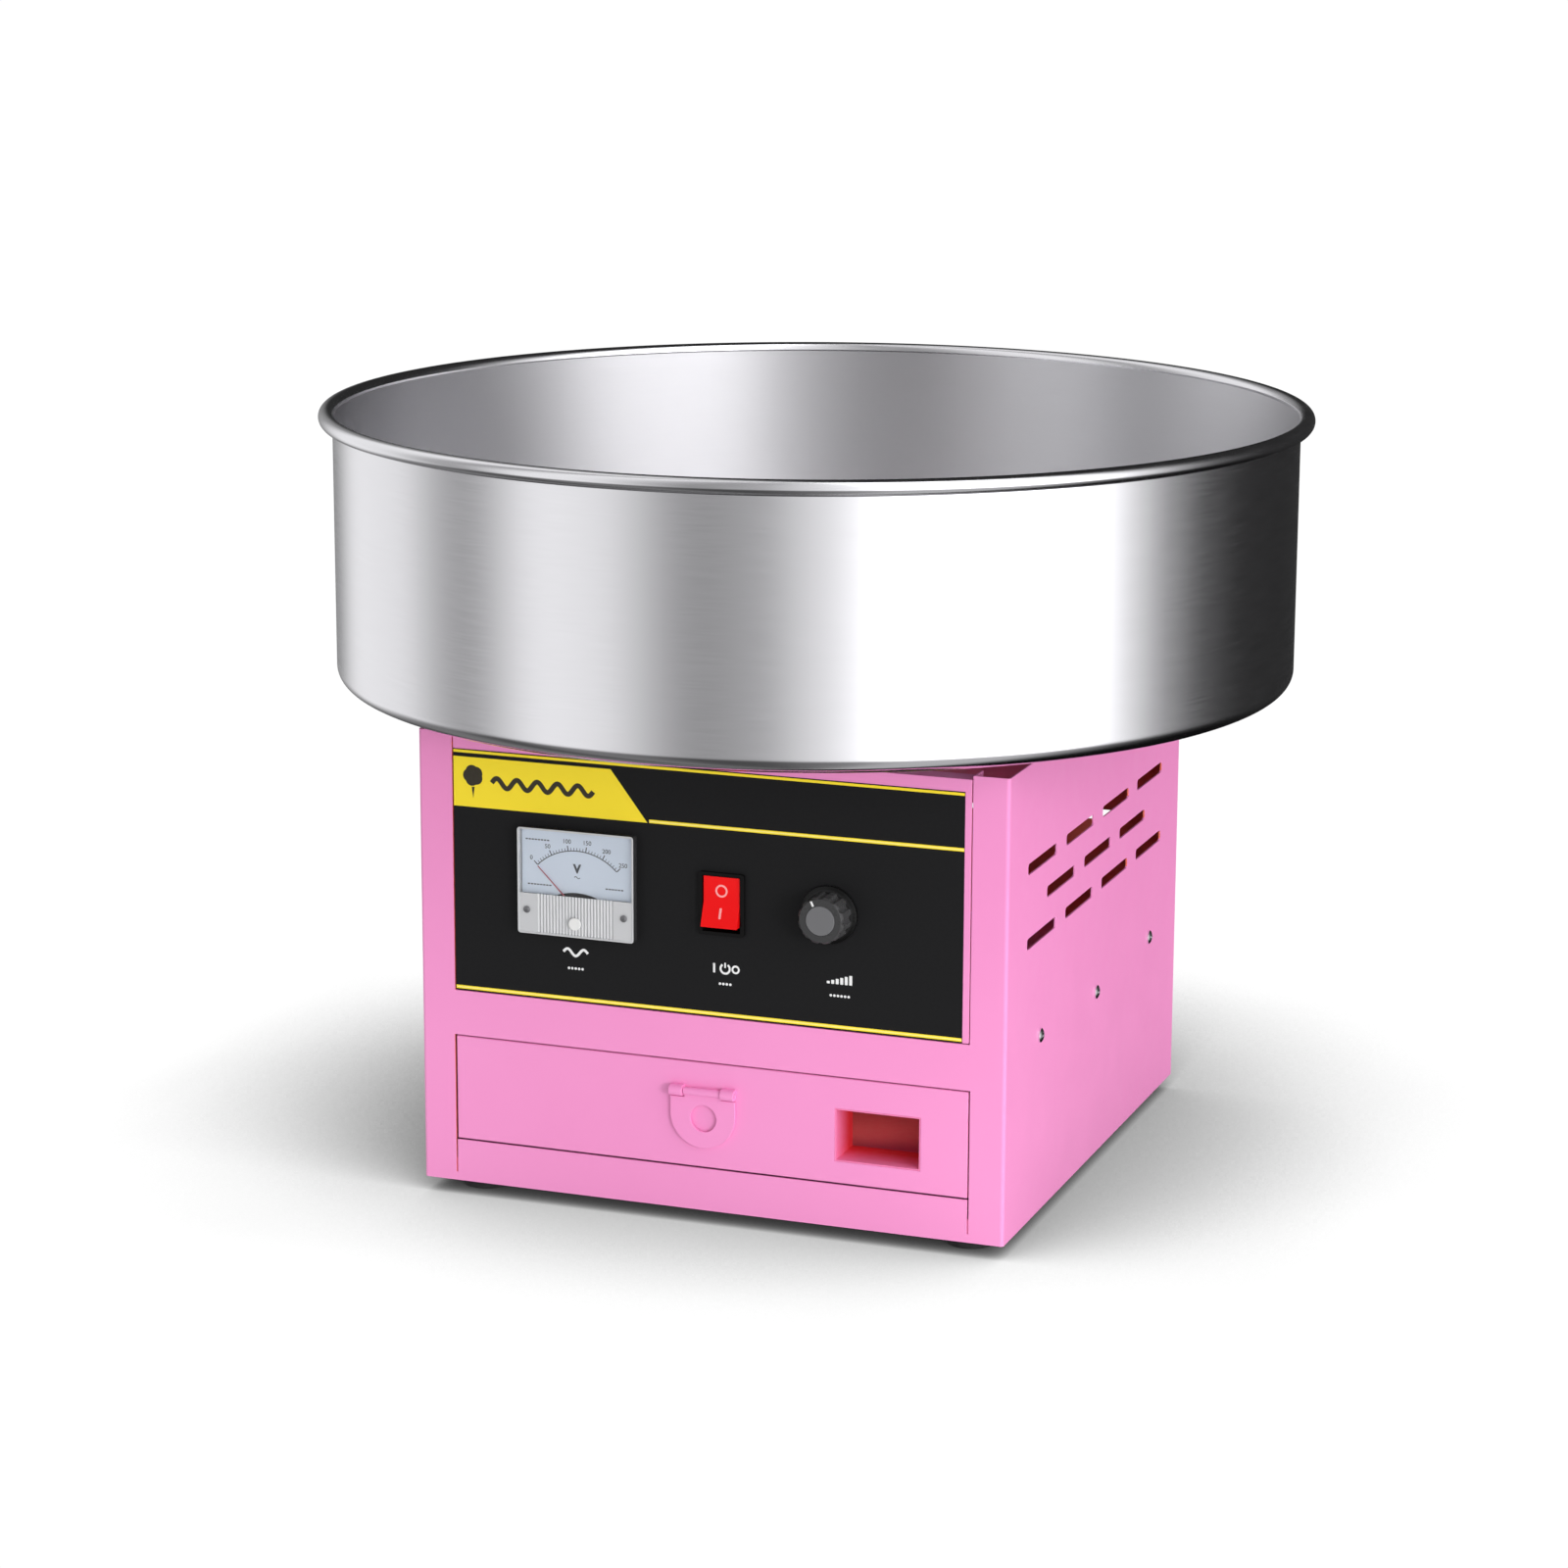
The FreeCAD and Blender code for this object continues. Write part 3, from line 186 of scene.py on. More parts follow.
def make_floor():
    """A white round floor that glows, with a soft contact shadow painted into its glow; it fades into the white
    backdrop.
    """
    bm = bmesh.new()
    bmesh.ops.create_circle(bm, cap_ends=True, radius=FLOOR_RADIUS, segments=96)
    mesh = bpy.data.meshes.new("floor")
    bm.to_mesh(mesh)
    bm.free()
    floor = bpy.data.objects.new("floor", mesh)
    bpy.context.collection.objects.link(floor)
    floor.visible_glossy = False
    material = bpy.data.materials.new("floor")
    material.use_nodes = True
    tree = material.node_tree
    tree.nodes.remove(tree.nodes["Principled BSDF"])
    nearness = tree.nodes.new("ShaderNodeAmbientOcclusion")
    nearness.samples = 16
    nearness.inputs["Distance"].default_value = SHADOW_REACH
    lean = tree.nodes.new("ShaderNodeCombineXYZ")
    for socket, value in zip(lean.inputs, SHADOW_LEAN):
        socket.default_value = value
    upward = tree.nodes.new("ShaderNodeVectorMath")
    upward.operation = "NORMALIZE"
    tree.links.new(lean.outputs[0], upward.inputs[0])
    tree.links.new(upward.outputs[0], nearness.inputs["Normal"])
    level = tree.nodes.new("ShaderNodeMapRange")
    level.inputs["From Max"].default_value = SHADOW_OPEN
    tree.links.new(nearness.outputs["AO"], level.inputs["Value"])
    # The floor glows, dimmer where things are near: a painted contact shadow.
    shade = tree.nodes.new("ShaderNodeEmission")
    darkening = add_math(tree, "POWER", level.outputs[0], SHADOW_CONTRAST)
    tree.links.new(add_math(tree, "MULTIPLY", darkening, BACKDROP), shade.inputs["Strength"])
    coords = tree.nodes.new("ShaderNodeTexCoord")
    length = tree.nodes.new("ShaderNodeVectorMath")
    length.operation = "LENGTH"
    tree.links.new(coords.outputs["Object"], length.inputs[0])
    fade = tree.nodes.new("ShaderNodeMapRange")
    fade.interpolation_type = "SMOOTHSTEP"
    fade.inputs["From Min"].default_value = FLOOR_FADE[0]
    fade.inputs["From Max"].default_value = FLOOR_FADE[1]
    tree.links.new(length.outputs["Value"], fade.inputs["Value"])
    clear = tree.nodes.new("ShaderNodeBsdfTransparent")
    mix = tree.nodes.new("ShaderNodeMixShader")
    tree.links.new(fade.outputs[0], mix.inputs[0])
    tree.links.new(shade.outputs[0], mix.inputs[1])
    tree.links.new(clear.outputs[0], mix.inputs[2])
    tree.links.new(mix.outputs[0], tree.nodes["Material Output"].inputs[0])
    mesh.materials.append(material)


make_camera()
make_world()
make_softbox("overhead", (0.1, -0.25, 2.4), (0, 0, 0.2), (1.4, 1.4), 34)
make_softbox("front_fill", (0.9, -2.6, 1.2), (0, 0, 0.15), (1.8, 1.4), 12.5)
make_softbox("right_fill", (2.4, -0.6, 1.0), (0, 0, 0.15), (1.4, 1.4), 10)
# A very small warm lamp in the drawer's bay, so that the tray shows through the window.
make_softbox("drawer_glow", (0.06, -0.105, 0.078), (0.03, 0.0, 0.04), (0.05, 0.03), 0.0105,
             color=(1, 0.8, 0.35))
make_softbox("right_key", (2.0, -1.7, 0.4), (0, 0, 0.2), (0.6, 0.5), 21.5)
make_softbox("left_fill", (-2.4, -0.2, 1.0), (0, 0, 0.15), (1.4, 1.4), 8)
make_softbox("back_fill", (-1.4, 2.5, 1.2), (0, 0, 0.15), (1.8, 1.4), 58)
make_floor()
bpy.context.scene.view_settings.view_transform = "Standard"


# ---------------------------------------------------------------- materials

def in_mm(node):
    """A CAD node's lowest and highest corners at rest, in mm."""
    low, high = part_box(node)
    return low / MM, high / MM


def srgb(red, green, blue):
    """A colour given as 0-255 display values, as linear light."""
    def linear(value):
        value /= 255
        return value / 12.92 if value <= 0.04045 else ((value + 0.055) / 1.055) ** 2.4
    return (linear(red), linear(green), linear(blue), 1)


def new_material(name, color, roughness, metallic=0.0, **sockets):
    """A material with even values; a socket's name is given with underscores for its spaces."""
    material = bpy.data.materials.new(name)
    material.use_nodes = True
    shader = material.node_tree.nodes["Principled BSDF"]
    shader.inputs["Base Color"].default_value = color
    shader.inputs["Roughness"].default_value = roughness
    shader.inputs["Metallic"].default_value = metallic
    for socket, value in sockets.items():
        shader.inputs[socket.replace("_", " ")].default_value = value
    return material


def noise(tree, scale, detail=3.0, stretch=None):
    """Noise in object space, in features per metre, optionally stretched along an axis."""
    coords = tree.nodes.new("ShaderNodeTexCoord")
    texture = tree.nodes.new("ShaderNodeTexNoise")
    texture.inputs["Scale"].default_value = scale
    texture.inputs["Detail"].default_value = detail
    if stretch:
        mapping = tree.nodes.new("ShaderNodeMapping")
        mapping.inputs["Scale"].default_value = stretch
        tree.links.new(coords.outputs["Object"], mapping.inputs["Vector"])
        tree.links.new(mapping.outputs[0], texture.inputs["Vector"])
    else:
        tree.links.new(coords.outputs["Object"], texture.inputs["Vector"])
    return texture


def spread(tree, source, low, high):
    """A value that runs from low to high as the noise does."""
    span = tree.nodes.new("ShaderNodeMapRange")
    span.inputs["From Min"].default_value = 0.3
    span.inputs["From Max"].default_value = 0.7
    span.inputs["To Min"].default_value = low
    span.inputs["To Max"].default_value = high
    tree.links.new(source, span.inputs["Value"])
    return span.outputs[0]


def vary_color(material, scale, low, high, detail=3.0, stretch=None):
    """A colour that drifts between two as the noise does."""
    tree = material.node_tree
    shader = tree.nodes["Principled BSDF"]
    mix = tree.nodes.new("ShaderNodeMix")
    mix.data_type = "RGBA"
    mix.inputs["A"].default_value = low
    mix.inputs["B"].default_value = high
    tree.links.new(spread(tree, noise(tree, scale, detail, stretch).outputs["Fac"], 0, 1),
                   mix.inputs["Factor"])
    tree.links.new(mix.outputs["Result"], shader.inputs["Base Color"])


def vary_roughness(material, scale, low, high, detail=3.0, stretch=None):
    """A gloss that drifts between two levels as the noise does."""
    tree = material.node_tree
    shader = tree.nodes["Principled BSDF"]
    tree.links.new(spread(tree, noise(tree, scale, detail, stretch).outputs["Fac"], low, high),
                   shader.inputs["Roughness"])


def bump(material, scale, height, detail=3.0, stretch=None):
    """Fine relief; height is in metres."""
    tree = material.node_tree
    relief = tree.nodes.new("ShaderNodeBump")
    relief.inputs["Distance"].default_value = height
    relief.inputs["Strength"].default_value = 1.0
    tree.links.new(noise(tree, scale, detail, stretch).outputs["Fac"], relief.inputs["Height"])
    tree.links.new(relief.outputs[0], tree.nodes["Principled BSDF"].inputs["Normal"])


def pink_coat():
    """Semi-gloss powder coat with its faint orange peel."""
    material = new_material("pink_coat", srgb(244, 150, 206), 0.42, Specular_IOR_Level=0.4)
    vary_color(material, 9, srgb(243, 147, 203), srgb(245, 151, 206))
    vary_roughness(material, 60, 0.38, 0.48)
    bump(material, 900, 0.00003)
    return material


def two_tone(name, axis, span, first, last, roughness=0.5, **sockets):
    """A coat that goes from one colour to another along an axis, between two places in mm."""
    material = plain(name, first, roughness, 0, 900, 0.00001, **sockets)
    tree = material.node_tree
    coords = tree.nodes.new("ShaderNodeTexCoord")
    split = tree.nodes.new("ShaderNodeSeparateXYZ")
    tree.links.new(coords.outputs["Object"], split.inputs[0])
    share = tree.nodes.new("ShaderNodeMapRange")
    share.inputs["From Min"].default_value = span[0] * MM
    share.inputs["From Max"].default_value = span[1] * MM
    tree.links.new(split.outputs[axis], share.inputs["Value"])
    mix = tree.nodes.new("ShaderNodeMix")
    mix.data_type = "RGBA"
    mix.inputs["A"].default_value = first
    mix.inputs["B"].default_value = last
    tree.links.new(share.outputs[0], mix.inputs["Factor"])
    tree.links.new(mix.outputs["Result"], tree.nodes["Principled BSDF"].inputs["Base Color"])
    return material


def spun_steel(name, color, roughness, anisotropy=0.6, turn=0.0):
    """Stainless with fine spun lines round the Z axis; a quarter turn smears its gloss upright."""
    lines = (1, 1, 30)
    material = new_material(name, color, roughness, 1.0, Anisotropic=anisotropy,
                            Anisotropic_Rotation=turn)
    vary_roughness(material, 40, roughness - 0.02, roughness + 0.03, 4, lines)
    tree = material.node_tree
    tangent = tree.nodes.new("ShaderNodeTangent")
    tangent.direction_type = "RADIAL"
    tangent.axis = "Z"
    tree.links.new(tangent.outputs[0], tree.nodes["Principled BSDF"].inputs["Tangent"])
    return material


def plain(name, color, roughness, metallic=0.0, grain=400, depth=0.00002, **sockets):
    """One colour with a grain in its gloss and relief."""
    material = new_material(name, color, roughness, metallic, **sockets)
    vary_roughness(material, grain / 4, roughness * 0.85, min(1.0, roughness * 1.15))
    bump(material, grain, depth)
    return material


def wound_copper():
    """Enamelled wire: fine bands round the coil."""
    material = new_material("copper_winding", (0.55, 0.2, 0.08, 1), 0.35, 0.9)
    vary_color(material, 60, (0.6, 0.24, 0.1, 1), (0.4, 0.13, 0.05, 1), 2, (1, 1, 12))
    bump(material, 60, 0.0004, 1, (1, 1, 14))
    return material


MATERIALS = {
    "pink_coat": pink_coat(),
    "polished_stainless": spun_steel("polished_stainless", (0.76, 0.755, 0.775, 1), 0.17),
    "galvanised_steel": plain("galvanised_steel", (0.6, 0.61, 0.62, 1), 0.4, 1.0, 150),
    "bright_screws": plain("bright_screws", (0.85, 0.85, 0.86, 1), 0.22, 1.0, 900, 0.000005),
    "black_rubber": plain("black_rubber", (0.02, 0.02, 0.02, 1), 0.8, 0, 1200, 0.00004),
    "black_plastic": plain("black_plastic", (0.009, 0.009, 0.01, 1), 0.33, 0, 1500, 0.00001,
                           Specular_IOR_Level=0.3),
    "panel_film": plain("panel_film", srgb(26, 26, 27), 0.55, 0, 2500, 0.000004,
                        Specular_IOR_Level=0.12),
    "meter_plastic": plain("meter_plastic", (0.5, 0.51, 0.52, 1), 0.45),
    "meter_magnet": plain("meter_magnet", (0.2, 0.2, 0.2, 1), 0.5, 1.0),
    "meter_face": plain("meter_face", srgb(205, 215, 228), 0.6, 0, 1500, 0.000003),
    "clear_cover": new_material("clear_cover", (1, 1, 1, 1), 0.03, 0, Transmission_Weight=1.0,
                                IOR=1.3),
    "white_plastic": plain("white_plastic", (0.8, 0.8, 0.79, 1), 0.3, 0, 900, 0.000005),
    "needle_red": plain("needle_red", (0.62, 0.16, 0.2, 1), 0.4),
    "rocker_red": plain("rocker_red", srgb(242, 8, 12), 0.4, 0, 900, 0.000003,
                        Specular_IOR_Level=0.3),
    "knob_grey": plain("knob_grey", srgb(104, 104, 106), 0.4, 0, 900, 0.000005),
    "shaft_steel": plain("shaft_steel", (0.6, 0.6, 0.61, 1), 0.3, 1.0),
    "board_green": plain("board_green", (0.03, 0.18, 0.08, 1), 0.4),
    "cast_aluminium": spun_steel("cast_aluminium", (0.78, 0.78, 0.79, 1), 0.3),
    "lamination_steel": plain("lamination_steel", (0.25, 0.25, 0.27, 1), 0.5, 1.0, 300, 0.0001),
    "copper_winding": wound_copper(),
    "brass": plain("brass", (0.78, 0.57, 0.26, 1), 0.25, 1.0),
    "carbon": plain("carbon", (0.03, 0.03, 0.03, 1), 0.6),
    "spring_steel": plain("spring_steel", (0.5, 0.5, 0.5, 1), 0.3, 1.0),
    "heater_strip": plain("heater_strip", (0.4, 0.34, 0.28, 1), 0.45, 1.0, 120, 0.0001),
}

# The coats that change on the way: at the deck's top, into the drawer's window, and where the knob's
# grip stands on its darker skirt. Places are in mm. The change at the deck's top and the one into the
# window are painted shade: red on the shell's inside below the deck, and red deeper in the window.
DECK = in_mm("top_deck")[1].z
DRAWER_FACE = in_mm("drawer_front")[0].y
PANEL_FACE = in_mm("panel_overlay")[0].y
UNDER_DECK = (DECK - 0.5, DECK)
INTO_WINDOW = (DRAWER_FACE + 1, DRAWER_FACE + 20)
KNOB_SKIRT = (PANEL_FACE - 4.0, PANEL_FACE - 3.0)
# A deeper pink of painted shade, for the deck, the drawer's tray and the shell's inside above the deck.
SHADE_PINK_COLOR = srgb(238, 108, 150)
KNOB_GRIP_BLACK = (0.045, 0.045, 0.046, 1)
GLOSS_BLACK = (0.003, 0.003, 0.003, 1)

BOWL_INSIDE = spun_steel("satin_inside", (0.82, 0.815, 0.835, 1), 0.5, 0.95, 0.25)
# The deeper pink as a coat of painted shade.
SHADE_PINK_COAT = plain("painted_shade_pink", SHADE_PINK_COLOR, 0.45, 0, 900, 0.00002)
# Painted shade on the inner faces of the shell and rear panel: red below the deck, the deeper pink above it.
RED_SHADE_INSIDE = two_tone("painted_red_shade_inside", "Z", UNDER_DECK, srgb(250, 126, 104), SHADE_PINK_COLOR)
# Painted shade in the window's sleeve: pink at its mouth, turning red further in.
SLEEVE_SHADE = two_tone("sleeve_painted_shade", "Y", INTO_WINDOW, srgb(242, 130, 180), srgb(232, 52, 62))
KNOB_PLASTIC = two_tone("knob_plastic", "Y", KNOB_SKIRT, KNOB_GRIP_BLACK, GLOSS_BLACK, 0.3,
                        Specular_IOR_Level=0.2)
BLACK_GLOSS = plain("black_gloss", GLOSS_BLACK, 0.12, 0, 900, 0.000002, Specular_IOR_Level=0.12)
SMOKED_EDGE = plain("smoked_edge", (0.03, 0.03, 0.031, 1), 0.2, 0, 900, 0.000002)
DULL_SCREW = plain("dull_screw", (0.22, 0.22, 0.23, 1), 0.5, 0.6, 900, 0.000005)
PRINT_YELLOW = plain("print_yellow", srgb(255, 228, 52), 0.5, 0, 2500, 0.000004,
                     Specular_IOR_Level=0.3)
# A paler yellow: a painted highlight along the middle of the yellow stripes.
STRIPE_HIGHLIGHT = plain("painted_stripe_highlight", srgb(255, 240, 140), 0.45, 0, 2500, 0.000004)
PRINT_WHITE = plain("print_white", srgb(235, 235, 235), 0.5, 0, 2500, 0.000004)
PRINT_BLACK = plain("print_black", srgb(40, 34, 20), 0.5, 0, 2500, 0.000004)
DIAL_INK = plain("dial_ink", srgb(70, 74, 82), 0.6, 0, 2500, 0.000002)
MILKY = plain("milky_lens", srgb(196, 197, 199), 0.22, 0, 900, 0.000004, Coat_Weight=0.5)
MARK_PINK = plain("switch_mark", srgb(255, 168, 168), 0.35, 0, 900, 0.000003)


# ---------------------------------------------------------------- building blocks

NODE_SLOT = {row["node"]: row["material_slot"] for row in frame["record"]["subparts"]}
NODE_BODY = {node: body for body, members in frame["record"]["behaviour"]["bodies"].items()
             for node in members}
JOINT_PLACE = {joint["name"]: Vector(joint["pos_m"]) for joint in frame["joints"]
               if "pos_m" in joint}


def dress_cad():
    """Give every CAD node the material of its slot."""
    for node, slot in NODE_SLOT.items():
        mesh = nodes[node].data
        mesh.materials.clear()
        mesh.materials.append(MATERIALS[slot])


def middle_x(node):
    """Where a CAD node's middle is across the front, in mm."""
    low, high = in_mm(node)
    return (low.x + high.x) / 2


def piece(name, mesh, slot, body, replaced=(), material=None, sharp=35):
    """A finished mesh as a piece of the visual model."""
    made = bpy.data.objects.new(name, mesh)
    bpy.context.collection.objects.link(made)
    if not mesh.materials:
        mesh.materials.append(material or MATERIALS[slot])
    if sharp:
        mesh.shade_smooth()
        mesh.set_sharp_from_angle(angle=math.radians(sharp))
    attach(made, body)
    if replaced:
        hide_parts(*replaced)


def mesh_from(bm, name):
    """A bmesh as a finished mesh, its faces all turned outwards."""
    bmesh.ops.recalc_face_normals(bm, faces=bm.faces)
    mesh = bpy.data.meshes.new(name)
    bm.to_mesh(mesh)
    bm.free()
    return mesh


def evaluated(thing):
    """The mesh of an object or curve with its modifiers applied; the object itself is removed."""
    bpy.context.view_layer.update()
    graph = bpy.context.evaluated_depsgraph_get()
    mesh = bpy.data.meshes.new_from_object(thing.evaluated_get(graph))
    bpy.data.objects.remove(thing)
    return mesh


def bevel_modifier(thing, width):
    """Rounds the sharp edges of an object; width is in metres."""
    bevel = thing.modifiers.new("bevel", "BEVEL")
    bevel.width = width
    bevel.segments = 2
    bevel.limit_method = "ANGLE"
    bevel.angle_limit = math.radians(40)
    bevel.use_clamp_overlap = True


def welded(node):
    """A CAD node's mesh with its faces joined up again, as a bmesh."""
    bm = bmesh.new()
    bm.from_mesh(nodes[node].data)
    bmesh.ops.remove_doubles(bm, verts=bm.verts, dist=2e-6)
    return bm


def flat_kept(mesh):
    """The same mesh shaded so that its large flat faces stay flat beside their eased edges."""
    mesh.shade_smooth()
    mesh.set_sharp_from_angle(angle=math.radians(50))
    thing = bpy.data.objects.new(mesh.name, mesh)
    bpy.context.collection.objects.link(thing)
    normals = thing.modifiers.new("normals", "WEIGHTED_NORMAL")
    normals.keep_sharp = True
    normals.weight = 100
    return evaluated(thing)


def eased(node, width, shade_lining=None, material=None):
    """Stands for a CAD node, with its edges eased by a width in mm.

    Upright faces that look towards the axis from far enough away get the second material given for the inside,
    whose colour is painted shade.
    """
    bm = welded(node)
    bmesh.ops.dissolve_limit(bm, angle_limit=math.radians(0.5), verts=bm.verts, edges=bm.edges)
    rough = bpy.data.objects.new(node, mesh_from(bm, node))
    bpy.context.collection.objects.link(rough)
    bevel_modifier(rough, width * MM)
    mesh = flat_kept(evaluated(rough))
    mesh.materials.clear()
    piece(node + ".eased", mesh, NODE_SLOT[node], NODE_BODY[node], (node,), material, None)
    if shade_lining:
        mesh.materials.append(shade_lining)
        nearest = 30 * MM
        for face in mesh.polygons:
            outward = face.normal.x * face.center.x + face.normal.y * face.center.y
            if abs(face.normal.z) < 0.5 and outward < -nearest:
                face.material_index = 1


def arc(centre, radius, first, last, steps):
    """Points along an arc, angles in degrees."""
    turns = [math.radians(first + (last - first) * i / steps) for i in range(steps + 1)]
    return [(centre[0] + radius * math.cos(t), centre[1] + radius * math.sin(t)) for t in turns]


def lathe(profile, segments, inside=()):
    """A closed profile of (radius, height) turned about Z; the sides named in inside get slot 1."""
    bm = bmesh.new()
    rings = []
    for i in range(segments):
        turn = 2 * math.pi * i / segments
        rings.append([bm.verts.new((r * math.cos(turn), r * math.sin(turn), z)) for r, z in profile])
    count = len(profile)
    for i in range(segments):
        near = rings[i]
        far = rings[(i + 1) % segments]
        for j in range(count):
            k = (j + 1) % count
            face = bm.faces.new((near[j], far[j], far[k], near[k]))
            face.material_index = 1 if j in inside else 0
    bmesh.ops.remove_doubles(bm, verts=bm.verts, dist=1e-7)
    return bm


def upright_plate(name, loops, back, thickness, bevel=0.0):
    """A flat plate facing -Y from closed loops of (x, z) in mm; a loop inside another is a hole."""
    data = bpy.data.curves.new(name, "CURVE")
    data.dimensions = "2D"
    data.fill_mode = "BOTH"
    data.extrude = (thickness / 2 - bevel) * MM
    data.bevel_depth = bevel * MM
    data.bevel_resolution = 2
    data.offset = -bevel * MM
    for loop in loops:
        spline = data.splines.new("POLY")
        spline.points.add(len(loop) - 1)
        for point, (x, z) in zip(spline.points, loop):
            point.co = (x * MM, z * MM, 0, 1)
        spline.use_cyclic_u = True
    return stood_up(data, back - thickness / 2)


def stood_up(data, middle):
    """A flat curve or text as a mesh in the plane y = middle (mm), facing -Y."""
    flat = bpy.data.objects.new(data.name, data)
    bpy.context.collection.objects.link(flat)
    mesh = evaluated(flat)
    mesh.transform(Matrix.Translation((0, middle * MM, 0)) @ Matrix.Rotation(math.radians(90), 4, "X"))
    bm = bmesh.new()
    bm.from_mesh(mesh)
    bmesh.ops.remove_doubles(bm, verts=bm.verts, dist=1e-7)
    bmesh.ops.recalc_face_normals(bm, faces=bm.faces)
    bm.to_mesh(mesh)
    bm.free()
    mesh.materials.clear()
    return mesh


def ribbon(points, width):
    """The outline of a stroke of even width along points."""
    left = []
    right = []
    for i, (x, z) in enumerate(points):
        before = points[max(i - 1, 0)]
        after = points[min(i + 1, len(points) - 1)]
        run = Vector((after[0] - before[0], after[1] - before[1])).normalized()
        left.append((x - run.y * width / 2, z + run.x * width / 2))
        right.append((x + run.y * width / 2, z - run.x * width / 2))
    return left + right[::-1]


def box_loop(low_x, high_x, low_z, high_z, radius=0.0):
    """A rectangle, with round corners where a radius is given."""
    if not radius:
        return [(low_x, low_z), (high_x, low_z), (high_x, high_z), (low_x, high_z)]
    corners = [(high_x - radius, low_z + radius, -90), (high_x - radius, high_z - radius, 0),
               (low_x + radius, high_z - radius, 90), (low_x + radius, low_z + radius, 180)]
    return [point for x, z, first in corners for point in arc((x, z), radius, first, first + 90, 5)]


def round_loop(x, z, radius, steps=40):
    """A circle."""
    return arc((x, z), radius, 0, 360, steps)[:-1]


# ---------------------------------------------------------------- bowl

def make_bowl():
    """The spun bowl in fine facets, satin inside and polished outside."""
    low, high = in_mm("bowl")
    thick = 0.8
    rim = 4.1
    corner = 8.0
    wall = high.x - 2 * rim + thick
    inner = wall - thick
    floor = low.z
    curl = (inner + rim, high.z - rim)
    neck = 101.2
    neck_top = in_mm("bowl_collar")[1].z + 3
    neck_bend = 3.0
    hold = 0.6
    rim_steps = 36
    facets = 288

    # The underside from the neck out, up the wall and round the curl; then back along the inside.
    # Extra points beside a bend, a little way off, hold the flat stretches flat.
    under = [(neck, neck_top)] + arc((neck + neck_bend, floor + neck_bend), neck_bend, 180, 270, 6)
    under += [(wall - corner - hold, floor)]
    under += arc((wall - corner, floor + corner), corner, 270, 360, 14)
    under += [(wall, floor + corner + hold), (wall, curl[1] - hold)]
    under += arc(curl, rim - thick, 180, -130, 30)
    upper = arc(curl, rim, -130, 180, rim_steps) + [(inner, curl[1] - hold)]
    upper += [(inner, floor + corner + hold)]
    upper += arc((wall - corner, floor + corner), corner - thick, 360, 270, 12)
    upper += [(wall - corner - hold, floor + thick)]
    upper += arc((neck + neck_bend, floor + neck_bend), neck_bend - thick, 270, 180, 5)
    upper += [(neck + thick, neck_top)]
    profile = [(r * MM, z * MM) for r, z in under + upper]
    inside = range(len(under) + rim_steps + 1, len(profile))
    mesh = mesh_from(lathe(profile, facets, inside), "bowl")
    mesh.materials.append(MATERIALS["polished_stainless"])
    mesh.materials.append(BOWL_INSIDE)
    piece("spun_bowl", mesh, "polished_stainless", "bowl", ("bowl",), sharp=50)


# ---------------------------------------------------------------- printed panel

def film_print(name, loops, material, level=1):
    """Ink on the film; a higher level lies over a lower one."""
    ink = 0.04
    mesh = upright_plate(name, loops, PANEL_FACE - ink * (level - 1), ink)
    piece(name, mesh, "panel_film", "cabinet", material=material)


def candy_sign(x, z, size):
    """A puff of floss on a stick, as loops that don't cross."""
    steps = 72
    lobes = 5
    puff = []
    for i in range(steps):
        turn = 2 * math.pi * i / steps
        reach = size * (0.42 + 0.05 * abs(math.sin(lobes / 2 * turn)))
        puff.append((x + reach * math.cos(turn), z + 0.25 * size + reach * math.sin(turn)))
    stick_top = z - 0.24 * size
    stick = [(x - 0.07 * size, stick_top), (x + 0.07 * size, stick_top), (x, z - 0.75 * size)]
    return [puff, stick]


def wave(x_span, z, height, turns, width):
    """A sine-shaped stroke that makes so many turns across its span."""
    steps = int(20 * turns)
    points = []
    for i in range(steps + 1):
        share = i / steps
        points.append((x_span[0] + (x_span[1] - x_span[0]) * share,
                       z + height * math.sin(2 * math.pi * turns * share)))
    return ribbon(points, width)


def ring_loops(x, z, outer, width):
    """A ring, by its outer radius and the width of its band."""
    return [round_loop(x, z, outer), round_loop(x, z, outer - width)]


def panel_print():
    """The yellow banner and lines, with plain signs where a maker would put words."""
    low, high = in_mm("panel_overlay")
    left = low.x + 0.2
    right = high.x - 0.2
    stripe = (low.z + 98.6, low.z + 100.4)
    banner_top = low.z + 124.9
    banner_top_right = -52.4
    stripe_left = -31.3
    sheen_inset = 0.6
    film_print("banner", [[(left, stripe[0]), (stripe_left - 1, stripe[0]),
                           (banner_top_right, banner_top), (left, banner_top)]], PRINT_YELLOW)
    film_print("stripe_middle", [box_loop(stripe_left, right, *stripe)], PRINT_YELLOW)
    film_print("stripe_top", [box_loop(left, right, high.z - 1.9, high.z - 0.5)], PRINT_YELLOW)
    film_print("stripe_bottom", [box_loop(left, right, low.z + 0.7, low.z + 2.5)], PRINT_YELLOW)
    # A paler line along the middle of two stripes: their sheen, as a painted highlight.
    film_print("stripe_sheen", [
        box_loop(left, right, low.z + 0.7 + sheen_inset, low.z + 2.5 - sheen_inset),
        box_loop(stripe_left, right, stripe[0] + sheen_inset, stripe[1] - sheen_inset)], STRIPE_HIGHLIGHT, 2)
    middle = (stripe[0] + banner_top) / 2 + 0.5
    candy_x = -129
    wave_span = (-118.5, -62)
    film_print("banner_sign", candy_sign(candy_x, middle, 12) + [wave(wave_span, middle, 2.5, 5, 2.6)],
               PRINT_BLACK, 2)
    control_signs(low.z + 26.3, low.z + 17.8)


